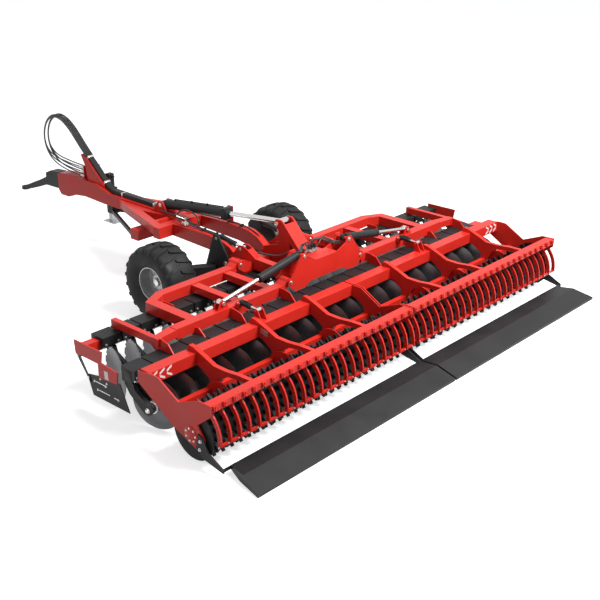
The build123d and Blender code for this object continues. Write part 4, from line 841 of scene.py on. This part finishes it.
for side, sign in SIDES:
    for index in range(VALVE_HOSES):
        lift = 0.012 * index
        rear = index == 2
        points = [
            (deck_x + 0.018 - 0.053 * rear, sign * (0.016 + 0.030 * (index % 2)), 1.010 - 0.030 * rear),
            (deck_x + 0.020 - 0.080 * rear, sign * (0.030 + 0.030 * index), 1.075 - 0.020 * index),
            (deck_x - 0.010, sign * (0.130 + 0.020 * index), 1.070 + lift),
            (deck_x - 0.060, sign * (0.230 + 0.010 * index), 1.020 + lift),
            (DATUM + 0.395, sign * 0.300, 0.985 + lift),
            (DATUM + 0.330, sign * (0.335 + 0.012 * index), 0.985 + lift),
        ]
        add_line(f"valve_hose_{side}_{index + 1}", points, VALVE_HOSE_RADIUS, hose_rubber, "root")
        if index < DECK_HOSES:
            points = [
                (deck_x + 0.050, sign * 0.030 * (index + 1), 0.945),
                (deck_x + 0.120, sign * (0.060 + 0.030 * index), 0.985 - 0.02 * index),
                (deck_x + 0.200, sign * (0.150 + 0.020 * index), 0.930),
                (deck_x + 0.300, sign * (0.200 + 0.016 * index), 0.860),
                (deck_x + 0.480, sign * (0.225 + 0.016 * index), 0.842),
                (deck_x + 0.640, sign * (0.250 + 0.016 * index), 0.838),
            ]
            add_line(f"deck_hose_{side}_{index + 1}", points, VALVE_HOSE_RADIUS, hose_rubber, "root")

# ---- drawbar hoses
# The feed hoses come out from under the guide, pass a shut-off cock on the left leg and run along both
# legs to the lift cylinders; one spare length is looped beside the main cylinder.
cock_build = bmesh.new()
cock_at = Vector((DATUM + 2.400, 0.240, 0.893))
add_box(cock_build, (0.060, 0.050, 0.048), 0.005, Matrix.Translation(cock_at))
stem = [(0, 0.011), (0.030, 0.011), (0.030, 0.018), (0.052, 0.018), (0.052, 0)]
union = [(0, 0.015), (0.030, 0.015), (0.030, 0)]
lever = [(0, 0.006), (0.090, 0.006), (0.100, 0.009), (0.112, 0.009), (0.114, 0)]
turn(cock_build, stem, cock_at + Vector((0, 0, 0.022)), (0, 0, 1), steps=6)
for facing in (1, -1):
    turn(cock_build, union, cock_at + facing * Vector((0.030, 0, 0)), (facing, 0, 0), steps=6)
turn(cock_build, lever, cock_at + Vector((0, 0.010, 0.062)), (0.5, 0.6, 0.35), steps=12)
add_piece("shut_off_cock", cock_build, bright_zinc, "drawbar")
loop = [
    (DATUM + 2.460, 0.240, 0.893),
    (DATUM + 2.560, 0.225, 0.905),
    (DATUM + 2.640, 0.185, 0.930),
    (DATUM + 2.600, 0.150, 1.000),
    (DATUM + 2.450, 0.150, 1.045),
    (DATUM + 2.270, 0.165, 1.010),
    (DATUM + 2.200, 0.180, 0.925),
    (DATUM + 2.290, 0.175, 0.885),
    (DATUM + 2.480, 0.160, 0.900),
    (DATUM + 2.700, 0.130, 0.905),
    (DATUM + 2.950, 0.110, 0.890),
    (DATUM + 3.150, 0.060, 0.880),
    (DATUM + 3.290, 0.030, 0.885),
]
add_line("looped_hose", loop, HOSE_RADIUS, hose_rubber, "drawbar")
# The first hose starts at the cock, and the other two on the spine, ahead of the main cylinder's foot.
from_cock = [(DATUM + 2.370, 0.240, 0.893), (DATUM + 2.300, 0.240, 0.888)]
from_front = [(DATUM + 3.260, 0.020, 0.893), (DATUM + 2.900, 0.110, 0.888)]
for index, sign in enumerate((1, 1, -1)):
    offset = 0.024 if index == 1 else 0.0
    run = [(x, sign * y, z) for x, y, z in (from_cock if index == 0 else from_front)]
    run += [
        (DATUM + 2.150, sign * (0.230 - offset), 0.882),
        (DATUM + 1.950, sign * (0.230 - offset), 0.882),
        (DATUM + 1.750, sign * (0.230 - offset), 0.872),
        (DATUM + 1.640, sign * (0.232 - offset), 0.842),
        (DATUM + 1.560, sign * (0.234 - offset), 0.810),
        (DATUM + 1.530, sign * (0.225 - offset), 0.760),
    ]
    add_line(f"leg_hose_{index + 1}", run, HOSE_RADIUS, hose_rubber, "drawbar")
saddle_build = bmesh.new()
for x, z in ((2.080, 0.876), (1.860, 0.872)):
    for sign in (1, -1):
        place = Matrix.Translation((DATUM + x, sign * 0.220, z + 0.010))
        add_box(saddle_build, (0.022, 0.066, 0.030), 0.004, place)
add_piece("hose_saddles", saddle_build, cast_black, "drawbar")

# ---- guide clamps and parked caps
# Plated straps hold the black hose guide to the mast and the spine; coloured dust caps hang beside it.
strap_build = bmesh.new()
lean = Matrix.Rotation(math.radians(-40.7), 4, "Y")
guide_top = Vector((HOSE_LOOP[0][0], 0, HOSE_LOOP[0][1]))
guide_rise = Vector((0.758, 0, 0.652))
for along in (0.018, 0.470):
    middle = guide_top - guide_rise * along
    add_box(strap_build, (0.030, 0.092, 0.044), 0.004, Matrix.Translation(middle) @ lean)
for x, z in ((3.930, 0.894), (3.262, 0.892)):
    add_box(strap_build, (0.026, 0.090, 0.062), 0.004, Matrix.Translation((DATUM + x, 0, z)))
add_piece("guide_straps", strap_build, bright_zinc, "drawbar")
holder_build = bmesh.new()
holder_place = Matrix.Translation((DATUM + 4.560, -0.0635, 1.120)) @ lean
add_box(holder_build, (0.200, 0.006, 0.050), 0.002, holder_place)
add_piece("cap_holder", holder_build, red_paint, "drawbar")
cap_blue = make_finish("cap_blue", (0.01, 0.11, 0.5), 0.45, drift=0.08, patch=50.0, grain=0.1)
cap_white = make_finish("cap_white", (0.78, 0.78, 0.76), 0.45, drift=0.05, patch=50.0, grain=0.1)
dust_cap = [(0, 0.014), (0.004, 0.021), (0.012, 0.021), (0.014, 0.0175), (0.040, 0.0165), (0.044, 0.014)]
dust_cap.append((0.044, 0))
for name, material, spots in (
    ("blue_cap", cap_blue, [(4.600, 1.155)]),
    ("white_caps", cap_white, [(4.640, 1.190), (4.565, 1.125), (4.530, 1.095)]),
):
    caps_build = bmesh.new()
    for x, z in spots:
        turn(caps_build, dust_cap, (DATUM + x, -0.0667, z), (-0.45, -0.85, 0.25), steps=20)
    add_piece(name, caps_build, material, "drawbar")

# ---- jack crank
# A cranked handle on the gearbox head of the parking jack, with a plastic grip.
crank_build = bmesh.new()
crank_at = Vector((DATUM + 4.430, -0.150, 1.030))
crank_hub = [(0, 0.020), (0.020, 0.020), (0.024, 0.014), (0.050, 0.014), (0.050, 0)]
crank_arm = [(0, 0), (0, 0.007), (0.150, 0.007), (0.150, 0)]
crank_grip = [(0, 0), (0, 0.013), (0.090, 0.015), (0.094, 0.010), (0.095, 0)]
turn(crank_build, crank_hub, crank_at - Vector((0.042, 0, 0)), (-1, 0, 0), steps=16)
turn(crank_build, crank_arm, crank_at + Vector((-0.086, 0, 0.006)), (0, 0.15, -1), steps=12)
turn(crank_build, crank_grip, crank_at + Vector((-0.080, 0.022, -0.140)), (-1, 0, 0), steps=16)
add_piece("jack_crank", crank_build, cast_black, "drawbar")

# ---- board seam
# The levelling board is one folded sheet: its upper edge is turned over and bolted to a flat rail.
BOARD_BOLTS = 12
BOARD_BOLT_STEP = 0.240
FIRST_BOLT_Y = 0.150
SEAM_X = -1.180
SEAM_Z = 0.0873
bolt_dome = [(0, 0.011), (0.003, 0.010), (0.005, 0.006), (0.0055, 0)]
for side, sign in SIDES:
    board_build = bmesh.new()
    for index in range(BOARD_BOLTS):
        y = sign * (FIRST_BOLT_Y + index * BOARD_BOLT_STEP)
        turn(board_build, bolt_dome, (DATUM + SEAM_X, y, SEAM_Z), (-0.07, 0, 1), steps=14)
    add_piece(f"board_bolts_{side}", board_build, cast_black, f"roller_arms_{side}")
